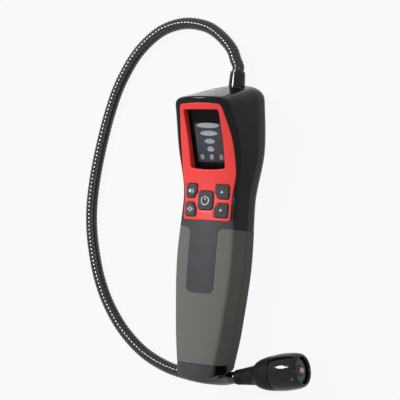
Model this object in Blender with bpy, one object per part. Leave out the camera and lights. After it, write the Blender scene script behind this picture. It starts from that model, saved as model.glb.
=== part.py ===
"""Handheld combustible gas detector with a bendable probe neck, lying on its back.

+Y runs from the tail to the display head, +X to the right of the face, +Z out of the face.
The origin is on the plane of the back. All sizes are in metres.
"""
import bpy
import bmesh
from math import atan2, ceil, cos, floor, pi, radians, sin, sqrt, tan
from mathutils import Matrix, Vector

# Gaps and walls
CLEARANCE = 0.0003
WALL = 0.0020
SKIN = 0.0016

# Body form
PARTING_Z = 0.0145
CROWN = 0.0033
BACK_RADIUS = 0.0080
FACE_RADIUS = 0.0022
TAIL_Y = -0.0913
TAIL_LEAN = 0.228
TAIL_LEAN_LENGTH = 0.030
HEAD_Y = 0.1000
HEAD_LEAN = 0.367
HEAD_LEAN_LENGTH = 0.045
TAIL_CORNER = 0.0025
HEAD_CORNER = 0.0050
EDGE_RADIUS = 0.0020
STATION_STEP = 0.0080
FLAT_ANGLE = radians(0.8)
SWOOP_START = 0.0330
SWOOP_RADIUS = 0.0833
GRIP_HALF = 0.0222
WAIST_HALF = 0.0212
HEAD_HALF = 0.0253
TOP_HALF = 0.0210
HANDLE_Y = -0.060
GRIP_Y = -0.012
WAIST_Y = 0.024
BROAD_Y = 0.060
SIDE_DRAFT = 0.0015
WAIST_DRAFT = 0.0021
HEAD_DRAFT = 0.0026

# Grip and battery cover
GRIP_TOP_Y = 0.0055
GRIP_BASE_Y = -0.0849
WINDOW_HALF = 0.01085
WINDOW_LOW_Y = -0.0380
WINDOW_RADIUS = 0.0045
ARM_RADIUS = 0.0040
TONGUE_HALF = 0.0155
TONGUE_REACH = 0.0086
TONGUE_ROOT = 0.0040
HOOK_REACH = 0.0020
HOOK_HALF = 0.0030
HOOK_THICKNESS = 0.0012
HOOK_X = 0.0090

# Faceplate and display
FACEPLATE_LOW_Y = 0.0103
FACEPLATE_HIGH_Y = 0.0863
FACEPLATE_RIM = 0.0008
FACEPLATE_RADIUS = 0.0040
DISPLAY_TILT = radians(21.2)
DISPLAY_Y = 0.0524
DISPLAY_RISE = 0.0017
WELL_LOW = -0.0054
WELL_HIGH = 0.0340
WELL_HALF_LOW = 0.01345
WELL_HALF_HIGH = 0.0140
WELL_RADIUS = 0.0016
WELL_WALL = 0.0012
WELL_HEIGHT = 0.0140
LENS_THICKNESS = 0.0012
DISPLAY_STACK = 0.0062
PANEL_THICKNESS = 0.0014
BOARD_THICKNESS = 0.0016
LIGHT_PITCH = 0.0054
LIGHT_FIRST = 0.0054
LIGHT_HEIGHT = 0.0036
LIGHT_WIDTHS = (0.0057, 0.0083, 0.0137, 0.0180)
STATUS_X = 0.0076
STATUS_WIDTH = 0.0031

# Keys
KEY_RISE = 0.0010
KEY_TRAVEL = 0.0008
KEY_FLANGE = 0.0006
KEY_FLANGE_THICKNESS = 0.0008
KEY_LEDGE = 0.0012
KEYPAD_Y = 0.0235
POWER_HALF_X = 0.0059
POWER_HALF_Y = 0.00625
POWER_RADIUS = 0.0022
SIDE_KEY_X = 0.0121
SIDE_KEY_PITCH = 0.0062
SIDE_KEY_HALF_X = 0.00475
SIDE_KEY_HALF_Y = 0.00465
SIDE_KEY_RADIUS = 0.0011
SIDE_KEY_CHAMFER_X = 0.0026
SIDE_KEY_CHAMFER_Y = 0.0040
STEM_RADIUS = 0.0014
SWITCH_HALF = 0.0023
SWITCH_HEIGHT = 0.0018
PLUNGER_RADIUS = 0.0010
PLUNGER_HEIGHT = 0.0006

# Cells and what holds them
CELL_RADIUS = 0.00725
CELL_LENGTH = 0.0492
NUB_RADIUS = 0.00275
NUB_LENGTH = 0.0013
CELL_GAP = 0.0004
CELL_PAIR_GAP = 0.0005
CELL_LOW_Y = -0.0735
SPRING_LENGTH = 0.0030
SPRING_WIRE = 0.0004
SPRING_TURNS = 3
SPRING_TIP_RADIUS = 0.0022
SPRING_FOOT_RADIUS = 0.0040
CONTACT_THICKNESS = 0.0005
CONTACT_SHARE = 0.6
CRADLE_ROOF = 0.0017
CRADLE_BASE_Z = 0.0125
CRADLE_END_ROOM = 0.0018
CELL_END_GAP = 0.0012
CELL_SIDE_ROOM = 0.00395
TAIL_TAPER = 0.0045
RAIL_DEPTH = 0.0020

# Boards inside
BOARD_GAP = 0.0013
KEY_ROOM = 0.0067
BOARD_SIDE_GAP = 0.0012
BOARD_RADIUS = 0.0030
BOARD_LOW_Y = -0.0600
BOARD_HIGH_Y = 0.0430
BUZZER_RADIUS = 0.0050
BUZZER_HEIGHT = 0.0040
BUZZER_Y = -0.0100
BUZZER_HOLE_RADIUS = 0.0012
BUZZER_HOLE_DEPTH = 0.0010
MOTOR_RADIUS = 0.0035
MOTOR_HEIGHT = 0.0030
MOTOR_Y = -0.0300

# Screws
SCREW_HEAD_RADIUS = 0.0027
SCREW_HEAD_HEIGHT = 0.0018
SCREW_SHANK_RADIUS = 0.0012
SCREW_BITE = 0.0070
SCREW_TIP_GAP = 0.0010
SCREW_RECESS = 0.0008
BOSS_RADIUS = 0.0034
SCREW_DRIVE_RADIUS = 0.0010
SCREW_DRIVE_DEPTH = 0.0008
SCREW_LOW_X = 0.0145
SCREW_LOW_REACH = 0.0161
SCREW_HIGH_X = 0.0135
SCREW_HIGH_Y = 0.0860

# Neck and its ends
NECK_RADIUS = 0.0042
NECK_Z = 0.0070
COLLAR_BASE_RADIUS = 0.0057
COLLAR_TIP_RADIUS = 0.0052
COLLAR_TIP_Y = 0.1175
COLLAR_STEP = 0.0006
COLLAR_BEVEL = 0.0002
SPIGOT_RADIUS = 0.0032
SPIGOT_LENGTH = 0.0075
SPIGOT_HOLE_DEPTH = 0.0080
NECK_INSERT = 0.0080
NUT_RADIUS = 0.0046
NUT_THICKNESS = 0.0030
NECK_SIDES = 10
NECK_POINTS = 78
NECK_FLOOR = 0.0045
NECK_ROUTE = (
    (-0.0013, 0.1222), (-0.0057, 0.1297), (-0.0137, 0.1374), (-0.0227, 0.1437),
    (-0.0315, 0.1474), (-0.0444, 0.1496), (-0.0573, 0.1485), (-0.0701, 0.1439),
    (-0.0826, 0.1347), (-0.0926, 0.1230), (-0.1023, 0.1054), (-0.1083, 0.0877),
    (-0.1125, 0.0700), (-0.1157, 0.0521), (-0.1178, 0.0344), (-0.1184, 0.0167),
    (-0.1165, -0.0010), (-0.1121, -0.0183), (-0.1057, -0.0354), (-0.0962, -0.0520),
    (-0.0840, -0.0667), (-0.0721, -0.0769), (-0.0607, -0.0842), (-0.0497, -0.0890),
    (-0.0390, -0.0923), (-0.0286, -0.0942), (-0.0116, -0.0958), (0.0014, -0.0956),
)

# Sensor head, measured along its axis from the boot's end
PROBE_X = 0.0235
PROBE_Y = -0.0918
PROBE_Z = 0.0122
PROBE_TURN = radians(12.0)
PROBE_LENGTH = 0.0490
PROBE_SEAM = 0.0262
BOOT_END_RADIUS = 0.0052
BOOT_SLEEVE_RADIUS = 0.0057
BOOT_SLEEVE = 0.0094
BOOT_FLARE = ((0.0076, 0.0030), (0.0094, 0.0063), (0.0103, 0.0095), (0.0110, 0.0130))
BOOT_RIM_RADIUS = 0.0115
BOOT_WALL = 0.0020
BOOT_FLOOR = 0.0010
SEAL_REACH = 0.0016
THREAD_RADIUS = 0.0096
THREAD_LENGTH = 0.0060
MOUTH_RADIUS = 0.0084
MOUTH_DEPTH = 0.0050
CAP_BORE_RADIUS = 0.0100
CAP_LIP_DEPTH = 0.0016
CAP_SHAPE = ((0.0116, 0.0003), (0.0120, 0.0045), (0.0122, 0.0085), (0.0120, 0.0150))
CAP_NOSE = ((0.0115, 0.0030), (0.0111, 0.0010), (0.0102, 0.0), (0.0090, 0.0004))
CAP_MOUTH_BEVEL = 0.0020
SENSOR_DROP = 0.0022
ELEMENT_RADIUS = 0.0030
ELEMENT_RISE = 0.0016
ELEMENT_BEVEL = 0.0006
SENSOR_RADIUS = 0.0080
SENSOR_BACK = 0.0330
FILTER_OUTER = 0.0076
FILTER_INNER = 0.0034
FILTER_THICKNESS = 0.0010
SEAL_WIRE = 0.0007

# Shallow mark in the head's top face
RECESS_X = -0.0048
RECESS_HALF = 0.0065
RECESS_LOW = 0.0035
RECESS_HIGH = 0.0200
RECESS_LINE = 0.0006
RECESS_DEPTH = 0.0004
RECESS_RADIUS = 0.0010

# Levels and places that follow from the sizes above
CELL_X = CELL_RADIUS + CELL_PAIR_GAP / 2
CELL_Z = WALL + CLEARANCE + CELL_GAP + CELL_RADIUS
CELL_ROW_END = CELL_LOW_Y + 2 * (CELL_LENGTH + NUB_LENGTH) + CELL_GAP
CRADLE_TOP_Z = CELL_Z + CELL_RADIUS + CRADLE_ROOF
BOARD_Z = CRADLE_TOP_Z + BOARD_GAP
BOARD_TOP_Z = BOARD_Z + BOARD_THICKNESS
BODY_DEPTH = BOARD_TOP_Z + KEY_ROOM
DISPLAY_Z = BODY_DEPTH + DISPLAY_RISE
HANDLE_HALF = CELL_X + CELL_RADIUS + CELL_SIDE_ROOM
TAIL_HALF = HANDLE_HALF - TAIL_TAPER
TONGUE_TOP_Y = CELL_ROW_END + TONGUE_REACH
SCREW_PLACES = ((SCREW_LOW_X, CELL_ROW_END + SCREW_LOW_REACH), (SCREW_HIGH_X, SCREW_HIGH_Y))

COLOURS = {
    "black_shell": ((0.018, 0.018, 0.020), 0.32, 0.0),
    "red_shell": ((0.62, 0.020, 0.024), 0.35, 0.0),
    "grip_rubber": ((0.125, 0.125, 0.112), 0.75, 0.0),
    "key_rubber": ((0.045, 0.047, 0.050), 0.60, 0.0),
    "smoked_lens": ((0.02, 0.02, 0.022), 0.08, 0.0),
    "light_guide": ((0.42, 0.45, 0.46), 0.30, 0.0),
    "panel": ((0.030, 0.031, 0.033), 0.45, 0.0),
    "board": ((0.02, 0.16, 0.07), 0.45, 0.0),
    "part_black": ((0.02, 0.02, 0.02), 0.40, 0.0),
    "steel": ((0.55, 0.56, 0.58), 0.30, 1.0),
    "cell": ((0.12, 0.13, 0.15), 0.30, 0.6),
    "neck": ((0.015, 0.015, 0.017), 0.25, 0.0),
    "boot": ((0.022, 0.022, 0.023), 0.60, 0.0),
    "gloss_black": ((0.012, 0.012, 0.014), 0.12, 0.0),
    "filter": ((0.10, 0.14, 0.13), 0.55, 0.3),
    "sensor": ((0.45, 0.32, 0.22), 0.35, 0.8),
}


def material(key):
    """Principled material with the named finish."""
    found = bpy.data.materials.get(key)
    if found:
        return found
    colour, roughness, metallic = COLOURS[key]
    made = bpy.data.materials.new(key)
    made.use_nodes = True
    shader = made.node_tree.nodes["Principled BSDF"]
    shader.inputs["Base Color"].default_value = (*colour, 1.0)
    shader.inputs["Roughness"].default_value = roughness
    shader.inputs["Metallic"].default_value = metallic
    return made


def new_object(name, bm, finish=None, origin=(0, 0, 0)):
    """Object from a bmesh in world coordinates, with its origin at the given point."""
    bmesh.ops.recalc_face_normals(bm, faces=bm.faces)
    bmesh.ops.translate(bm, verts=bm.verts, vec=-Vector(origin))
    mesh = bpy.data.meshes.new(name)
    bm.to_mesh(mesh)
    bm.free()
    made = bpy.data.objects.new(name, mesh)
    made.location = origin
    bpy.context.scene.collection.objects.link(made)
    if finish:
        made.data.materials.append(material(finish))
    return made


def boolean(piece, tool, operation):
    """Apply one exact Boolean to a piece, and remove the tool."""
    modifier = piece.modifiers.new("Boolean", "BOOLEAN")
    modifier.operation = operation
    modifier.solver = "EXACT"
    modifier.object = tool
    bpy.context.view_layer.update()
    depsgraph = bpy.context.evaluated_depsgraph_get()
    mesh = bpy.data.meshes.new_from_object(piece.evaluated_get(depsgraph))
    piece.modifiers.remove(modifier)
    spent = piece.data
    piece.data = mesh
    bpy.data.meshes.remove(spent)
    bpy.data.objects.remove(tool)
    return piece


def merge_flats(piece):
    """Join the coplanar triangles that the cuts leave behind."""
    bm = bmesh.new()
    bm.from_mesh(piece.data)
    bmesh.ops.dissolve_limit(bm, angle_limit=FLAT_ANGLE, verts=bm.verts, edges=bm.edges)
    bm.to_mesh(piece.data)
    bm.free()
    return piece


def cut(piece, *tools):
    """Take the tools' forms away from a piece."""
    for tool in tools:
        boolean(piece, tool, "DIFFERENCE")
    return piece


def fuse(piece, *tools):
    """Add the tools' forms to a piece."""
    for tool in tools:
        boolean(piece, tool, "UNION")
    return piece


def keep_inside(piece, tool):
    """Keep what a piece and a tool share."""
    return boolean(piece, tool, "INTERSECT")


# Curves that give the body its shape


def smooth(y, points):
    """Height of the smooth curve through (y, value) points, with no overshoot."""
    if y <= points[0][0]:
        return points[0][1]
    if y >= points[-1][0]:
        return points[-1][1]
    spans = [b[0] - a[0] for a, b in zip(points, points[1:])]
    slopes = [(b[1] - a[1]) / span for a, b, span in zip(points, points[1:], spans)]
    tangents = [slopes[0]]
    for before, after in zip(slopes, slopes[1:]):
        tangents.append(0.0 if before * after <= 0 else 2 * before * after / (before + after))
    tangents.append(slopes[-1])
    i = max(k for k in range(len(spans)) if points[k][0] <= y)
    t = (y - points[i][0]) / spans[i]
    return (points[i][1] * (2 * t**3 - 3 * t**2 + 1)
            + spans[i] * tangents[i] * (t**3 - 2 * t**2 + t)
            + points[i + 1][1] * (3 * t**2 - 2 * t**3)
            + spans[i] * tangents[i + 1] * (t**3 - t**2))


def side_half(y):
    """Half-width of the body at the parting line."""
    return smooth(y, ((TAIL_Y, TAIL_HALF), (HANDLE_Y, HANDLE_HALF), (GRIP_Y, GRIP_HALF),
                      (WAIST_Y, WAIST_HALF), (BROAD_Y, HEAD_HALF), (HEAD_Y, TOP_HALF)))


def face_half(y):
    """Half-width of the front face at its corner."""
    draft = smooth(y, ((TAIL_Y, SIDE_DRAFT), (GRIP_Y, SIDE_DRAFT), (WAIST_Y, WAIST_DRAFT),
                       (BROAD_Y, HEAD_DRAFT), (HEAD_Y, HEAD_DRAFT)))
    return side_half(y) - draft


def face_z(y):
    """Height of the front face's corner: level along the handle, then a rising swoop."""
    rise = max(0.0, y - SWOOP_START)
    return BODY_DEPTH + rise**2 / (2 * SWOOP_RADIUS)


def lean(y):
    """Slope of a cross-section plane, nil along the handle and full at both ends."""
    head = min(1.0, max(0.0, (y - HEAD_Y + HEAD_LEAN_LENGTH) / HEAD_LEAN_LENGTH))
    tail = min(1.0, max(0.0, (TAIL_Y + TAIL_LEAN_LENGTH - y) / TAIL_LEAN_LENGTH))
    return -(HEAD_LEAN * head * head * (3 - 2 * head) + TAIL_LEAN * tail * tail * (3 - 2 * tail))


def rounding(distance, radius):
    """How far a rounded edge has pulled in at a distance from its end."""
    if distance >= radius:
        return 0.0
    return radius - sqrt(max(0.0, radius**2 - (radius - distance)**2))


def half_section(half, face, front, inset, pull_x, pull_z):
    """Right half of a section, as (x, z), from the middle of the back to the middle of the face."""
    side = half - inset - pull_x
    edge = face - inset - pull_x
    back = inset + pull_z
    top = front - inset - pull_z
    radius = max(BACK_RADIUS - inset, 0.0012)
    points = [(0.0, back)]
    bends = 4 if inset <= 0 else 2
    for step in range(bends + 1):
        angle = -pi / 2 + step * pi / 2 / bends
        points.append((side - radius + radius * cos(angle), back + radius + radius * sin(angle)))
    points.append((side, max(PARTING_Z, back + radius + 0.0005)))
    start = Vector((side, PARTING_Z))
    corner = Vector((edge, top))
    crown_x = edge - FACE_RADIUS
    crown_end = Vector((crown_x, top + CROWN * (1 - (crown_x / edge)**2)))
    down = (start - corner).normalized() * FACE_RADIUS + corner
    bends = 3 if inset <= 0 else 1
    for step in range(bends + 1):
        t = step / bends
        spot = down * (1 - t)**2 + corner * (2 * t * (1 - t)) + crown_end * t**2
        points.append((spot.x, spot.y))
    shares = (0.75, 0.5, 0.25, 0.0) if inset <= 0 else (0.5, 0.0)
    for share in shares:
        x = crown_x * share
        points.append((x, top + CROWN * (1 - (x / edge)**2)))
    return points


def ring_at(y, inset, pull_x=0.0, pull_z=0.0):
    """Closed ring of body points in the leaning plane of one station."""
    tilt = lean(y)
    front_y = y
    for _ in range(6):
        front_y = y + tilt * (face_z(front_y) - PARTING_Z)
    right = half_section(side_half(y), face_half(front_y), face_z(front_y), inset, pull_x, pull_z)
    ring = right + [(-x, z) for x, z in reversed(right[1:-1])]
    return [Vector((x, y + tilt * (z - PARTING_Z), z)) for x, z in ring]


def stations(low, high, fine):
    """Station places between two ends, closer together where the face swoops up."""
    step = STATION_STEP if fine else 2 * STATION_STEP
    first = ceil((low + STATION_STEP / 3) / step)
    last = floor((high - STATION_STEP / 3) / step)
    return [step * i for i in range(first, last + 1)]


def body_form(inset, low=None, high=None):
    """The body's outer form, drawn in by the inset, between two stations or to its own ends."""
    rings = []
    tail = TAIL_Y + inset
    head = HEAD_Y - inset
    if low is None:
        radius = max(TAIL_CORNER - inset, 0.0008)
        for share in (0.0, 0.15, 0.5):
            gap = radius * share
            rings.append(ring_at(tail + gap, inset, rounding(gap, radius),
                                 rounding(gap, min(radius, EDGE_RADIUS))))
        low = tail + radius
    rings.append(ring_at(low, inset))
    stop = high if high is not None else head - max(HEAD_CORNER - inset, 0.0008)
    rings += [ring_at(place, inset) for place in stations(low, stop, inset <= 0)]
    rings.append(ring_at(stop, inset))
    if high is None:
        radius = max(HEAD_CORNER - inset, 0.0008)
        edge = max(EDGE_RADIUS - inset, 0.0005)
        for share in (0.6, 0.3, 0.1, 0.0):
            gap = radius * share
            rings.append(ring_at(head - gap, inset, rounding(gap, radius), rounding(gap, edge)))
    form = loft(rings)
    bmesh.ops.triangulate(form, faces=form.faces)
    return form


def loft(rings):
    """Closed skin over rings of equal length."""
    bm = bmesh.new()
    rows = [[bm.verts.new(point) for point in ring] for ring in rings]
    count = len(rows[0])
    for lower, upper in zip(rows, rows[1:]):
        for i in range(count):
            j = (i + 1) % count
            bm.faces.new((lower[i], lower[j], upper[j], upper[i]))
    bm.faces.new(reversed(rows[0]))
    bm.faces.new(rows[-1])
    return bm


# Simple solids


def prism(outline, low, high, matrix=None):
    """Straight solid over a closed outline of (x, y) points."""
    bm = loft([[Vector((x, y, z)) for x, y in outline] for z in (low, high)])
    if matrix:
        bmesh.ops.transform(bm, matrix=matrix, verts=bm.verts)
    return bm


def box(x, y, z):
    """Box between two limits on each axis."""
    outline = ((x[0], y[0]), (x[1], y[0]), (x[1], y[1]), (x[0], y[1]))
    return prism(outline, z[0], z[1])


def rounded_polygon(corners, radius, steps=3):
    """Outline of a convex polygon with rounded corners."""
    points = []
    count = len(corners)
    for i, corner in enumerate(corners):
        here = Vector(corner)
        before = (Vector(corners[i - 1]) - here).normalized()
        after = (Vector(corners[(i + 1) % count]) - here).normalized()
        half_angle = before.angle(after) / 2
        reach = radius / tan(half_angle)
        centre = here + (before + after).normalized() * (radius / sin(half_angle))
        start = here + before * reach - centre
        sweep = start.angle_signed(here + after * reach - centre)
        for step in range(steps + 1):
            angle = sweep * step / steps
            spun = Matrix.Rotation(-angle, 2) @ start
            points.append(tuple(centre + spun))
    return points


def tapered_outline(low, high, half_at, radius, places=(), steps=4):
    """Outline that is mirrored about X = 0, with rounded ends and a varying half-width."""
    marks = [radius * (1 - cos(pi / 2 * step / steps)) for step in range(steps + 1)]
    along = [low + mark for mark in marks]
    along += [place for place in places if low + radius < place < high - radius]
    along += [high - mark for mark in reversed(marks)]
    right = []
    for y in along:
        pull = max(rounding(y - low, radius), rounding(high - y, radius))
        right.append((half_at(y) - pull, y))
    return right + [(-x, y) for x, y in reversed(right)]


def turned(profile, matrix, sides=24):
    """Solid of revolution about the local Z axis from (radius, height) points."""
    bm = bmesh.new()
    rows = []
    for radius, height in profile:
        spots = 1 if radius < 1e-7 else sides
        rows.append([bm.verts.new((radius * cos(2 * pi * k / sides), radius * sin(2 * pi * k / sides),
                                   height)) for k in range(spots)])
    for lower, upper in zip(rows, rows[1:] + rows[:1]):
        for k in range(sides):
            j = (k + 1) % sides
            corners = [lower[k % len(lower)], lower[j % len(lower)],
                       upper[j % len(upper)], upper[k % len(upper)]]
            corners = list(dict.fromkeys(corners))
            if len(corners) > 2:
                bm.faces.new(corners)
    bmesh.ops.transform(bm, matrix=matrix, verts=bm.verts)
    return bm


def disc(radius, low, high, x, y, sides=16):
    """Upright cylinder."""
    profile = ((0, low), (radius, low), (radius, high), (0, high))
    return turned(profile, Matrix.Translation((x, y, 0)), sides)


def tool(bm):
    """Temporary object used in a Boolean."""
    made = new_object("tool", bm)
    made.hide_render = True
    made.display_type = "WIRE"
    return made


# Shared forms

FAR = 0.2
DISPLAY_FRAME = (Matrix.Translation((0, DISPLAY_Y, DISPLAY_Z))
                 @ Matrix.Rotation(DISPLAY_TILT, 4, "X"))
ALONG_Y = Matrix.Rotation(-pi / 2, 4, "X")
BODY_PLACES = [k * STATION_STEP for k in range(-7, 11)]


def faceplate_outline(gap):
    """Faceplate's outline, grown by a gap."""
    return tapered_outline(FACEPLATE_LOW_Y - gap, FACEPLATE_HIGH_Y + gap,
                           lambda y: face_half(y) - FACEPLATE_RIM + gap, FACEPLATE_RADIUS,
                           BODY_PLACES)


def well_outline(gap):
    """Display well's outline in the tilted frame, grown by a gap."""
    def half(v):
        share = (v - WELL_LOW) / (WELL_HIGH - WELL_LOW)
        return WELL_HALF_LOW + (WELL_HALF_HIGH - WELL_HALF_LOW) * share + gap
    return tapered_outline(WELL_LOW - gap, WELL_HIGH + gap, half, WELL_RADIUS + gap, steps=3)


def side_key_outline(right, up, gap):
    """Outline of one side key, with the corner next to the power key cut off."""
    x = SIDE_KEY_HALF_X + gap
    y = SIDE_KEY_HALF_Y + gap
    corners = [(x, -y), (x, y), (-x, y), (-x, -y + SIDE_KEY_CHAMFER_Y), (-x + SIDE_KEY_CHAMFER_X, -y)]
    placed = [(right * (SIDE_KEY_X + cx), KEYPAD_Y + up * (SIDE_KEY_PITCH + cy)) for cx, cy in corners]
    if right * up < 0:
        placed.reverse()
    return rounded_polygon(placed, SIDE_KEY_RADIUS + gap, 2)


def power_outline(gap):
    """Outline of the power key."""
    x = POWER_HALF_X + gap
    y = POWER_HALF_Y + gap
    corners = [(x, KEYPAD_Y - y), (x, KEYPAD_Y + y), (-x, KEYPAD_Y + y), (-x, KEYPAD_Y - y)]
    return rounded_polygon(corners, POWER_RADIUS + gap, 3)


def keypad_outline():
    """Opening under the faceplate that all the keys' flanges work in."""
    half = SIDE_KEY_X + SIDE_KEY_HALF_X + KEY_FLANGE + CLEARANCE
    reach = SIDE_KEY_PITCH + SIDE_KEY_HALF_Y + KEY_FLANGE + CLEARANCE
    return tapered_outline(KEYPAD_Y - reach, KEYPAD_Y + reach, lambda y: half, SIDE_KEY_RADIUS,
                           steps=2)


KEYS = {
    "power_key": (0.0, KEYPAD_Y, power_outline),
    "sound_key": (-SIDE_KEY_X, KEYPAD_Y + SIDE_KEY_PITCH, lambda gap: side_key_outline(-1, 1, gap)),
    "vibrate_key": (-SIDE_KEY_X, KEYPAD_Y - SIDE_KEY_PITCH, lambda gap: side_key_outline(-1, -1, gap)),
    "high_key": (SIDE_KEY_X, KEYPAD_Y + SIDE_KEY_PITCH, lambda gap: side_key_outline(1, 1, gap)),
    "low_key": (SIDE_KEY_X, KEYPAD_Y - SIDE_KEY_PITCH, lambda gap: side_key_outline(1, -1, gap)),
}


def grip_region(gap):
    """Block over the grip's area, open where the inlay window is left free."""
    region = tool(box((-FAR, FAR), (GRIP_BASE_Y - gap, GRIP_TOP_Y + gap),
                      (PARTING_Z - gap, BODY_DEPTH + 0.01)))
    top = GRIP_TOP_Y + gap
    flare = ARM_RADIUS + gap
    places = [top - flare * (1 - sin(pi / 2 * step / 4)) for step in range(5)]
    window = tapered_outline(WINDOW_LOW_Y + gap, top + 2 * flare,
                             lambda y: WINDOW_HALF - gap + flare - rounding_back(top - y, flare),
                             WINDOW_RADIUS, places)
    return cut(region, tool(prism(window, PARTING_Z + 0.004, BODY_DEPTH + 0.02)))


def rounding_back(distance, radius):
    """Width left to a rounded corner at a distance from its end."""
    return sqrt(max(0.0, radius**2 - max(0.0, radius - max(0.0, distance))**2))


def screw_spots():
    """Places of the housing screws on both sides."""
    return [(side * x, y) for x, y in SCREW_PLACES for side in (-1, 1)]


# Pieces of the body


def build_front_housing():
    """Front shell with the faceplate's pocket, the grip's rebate and the screw bosses."""
    housing = new_object("front_housing", body_form(0.0), "black_shell")
    keep_inside(housing, tool(box((-FAR, FAR), (-FAR, FAR), (PARTING_Z + CLEARANCE / 2, FAR))))
    rebate = grip_region(CLEARANCE)
    cut(rebate, tool(body_form(SKIN + CLEARANCE)))
    pocket = tool(prism(faceplate_outline(CLEARANCE), PARTING_Z + 0.004, FAR))
    cut(pocket, tool(body_form(SKIN + CLEARANCE)))
    cut(housing, rebate, pocket)
    cut(housing, tool(body_form(SKIN + WALL)))
    for x, y in screw_spots():
        boss = tool(disc(BOSS_RADIUS, PARTING_Z + CLEARANCE / 2, FAR, x, y, 12))
        keep_inside(boss, tool(body_form(SKIN + WALL / 2)))
        fuse(housing, boss)
    cut(housing, tool(prism(keypad_outline(), PARTING_Z + 0.004, FAR)),
        tool(prism(well_outline(WELL_WALL + CLEARANCE), -DISPLAY_STACK, WELL_HEIGHT, DISPLAY_FRAME)))
    for x, y in screw_spots():
        depth = PARTING_Z + SCREW_BITE + SCREW_TIP_GAP
        cut(housing, tool(disc(SCREW_SHANK_RADIUS + CLEARANCE, 0, depth, x, y, 10)))
    cut(housing, top_mark())
    return merge_flats(housing)


def top_mark():
    """Thin frame sunk into the head's leaning top face."""
    slope = top_plane(0.0) @ ALONG_Y
    frames = []
    for inset, depth in ((0.0, RECESS_DEPTH), (RECESS_LINE, FAR)):
        half = RECESS_HALF - inset
        high = -RECESS_LOW - inset
        low = -RECESS_HIGH + inset
        corners = [(RECESS_X + half, low), (RECESS_X + half, high), (RECESS_X - half, high),
                   (RECESS_X - half, low)]
        frames.append(tool(prism(rounded_polygon(corners, RECESS_RADIUS - inset), -depth, depth, slope)))
    return cut(*frames)


def top_plane(gap):
    """Frame at the head's leaning top face, moved out by a gap along Y."""
    return (Matrix.Translation((0, HEAD_Y + gap, PARTING_Z))
            @ Matrix.Rotation(atan2(HEAD_LEAN, 1), 4, "X"))


def build_rear_housing():
    """Rear shell of the head, with the cell cradle that reaches down the handle."""
    housing = new_object("rear_housing", body_form(0.0, low=GRIP_TOP_Y), "black_shell")
    keep_inside(housing, tool(box((-FAR, FAR), (-FAR, FAR), (-FAR, PARTING_Z - CLEARANCE / 2))))
    cut(housing, tool(body_form(WALL, low=GRIP_TOP_Y - 0.01)))
    cradle_half = CELL_PAIR_GAP / 2 + 2 * CELL_RADIUS
    end_y = CELL_ROW_END + CELL_END_GAP
    cradle = tool(body_form(SKIN + WALL + CLEARANCE))
    keep_inside(cradle, tool(box((-FAR, FAR), (CELL_LOW_Y - SPRING_LENGTH - CRADLE_END_ROOM, end_y + WALL),
                                 (CRADLE_BASE_Z, CRADLE_TOP_Z))))
    end_wall = tool(body_form(WALL / 2, low=end_y, high=end_y + WALL))
    keep_inside(end_wall, tool(box((-FAR, FAR), (-FAR, FAR),
                                   (WALL / 2, PARTING_Z - CLEARANCE / 2))))
    rail = tool(body_form(WALL / 2, low=GRIP_TOP_Y, high=end_y + WALL))
    keep_inside(rail, tool(box((-FAR, FAR), (-FAR, FAR), (CRADLE_BASE_Z - RAIL_DEPTH,
                                                          PARTING_Z - CLEARANCE / 2))))
    cut(rail, tool(box((-cradle_half - CELL_GAP, cradle_half + CELL_GAP), (-FAR, end_y),
                       (-FAR, FAR))))
    fuse(housing, cradle, end_wall, rail)
    for side in (-1, 1):
        bore = tool(turned(((0, -FAR), (CELL_RADIUS + CELL_GAP, -FAR), (CELL_RADIUS + CELL_GAP, 0),
                            (0, 0)), Matrix.Translation((side * CELL_X, end_y, CELL_Z)) @ ALONG_Y, 20))
        cut(housing, bore)
    for x, y in screw_spots():
        fuse(housing, tool(disc(BOSS_RADIUS, WALL / 2, PARTING_Z - CLEARANCE / 2, x, y, 12)))
        cut(housing, tool(disc(SCREW_SHANK_RADIUS + CLEARANCE, -0.001, FAR, x, y, 10)),
            tool(disc(SCREW_HEAD_RADIUS + CLEARANCE, -0.001,
                      SCREW_RECESS + SCREW_HEAD_HEIGHT + CLEARANCE, x, y, 14)))
    doorway = ((-TONGUE_HALF - CLEARANCE, TONGUE_HALF + CLEARANCE), (-FAR, TONGUE_TOP_Y + CLEARANCE),
               (-0.001, WALL + CLEARANCE))
    cut(housing, tool(box(*doorway)))
    hole = turned(((0, -FAR), (SPIGOT_RADIUS + CLEARANCE, -FAR), (SPIGOT_RADIUS + CLEARANCE, FAR),
                   (0, FAR)), Matrix.Translation((0, HEAD_Y, NECK_Z)) @ ALONG_Y, 20)
    near = tool(hole)
    keep_inside(near, tool(box((-FAR, FAR), (HEAD_Y - SPIGOT_HOLE_DEPTH, FAR), (-FAR, FAR))))
    cut(housing, near)
    return merge_flats(housing)


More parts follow.
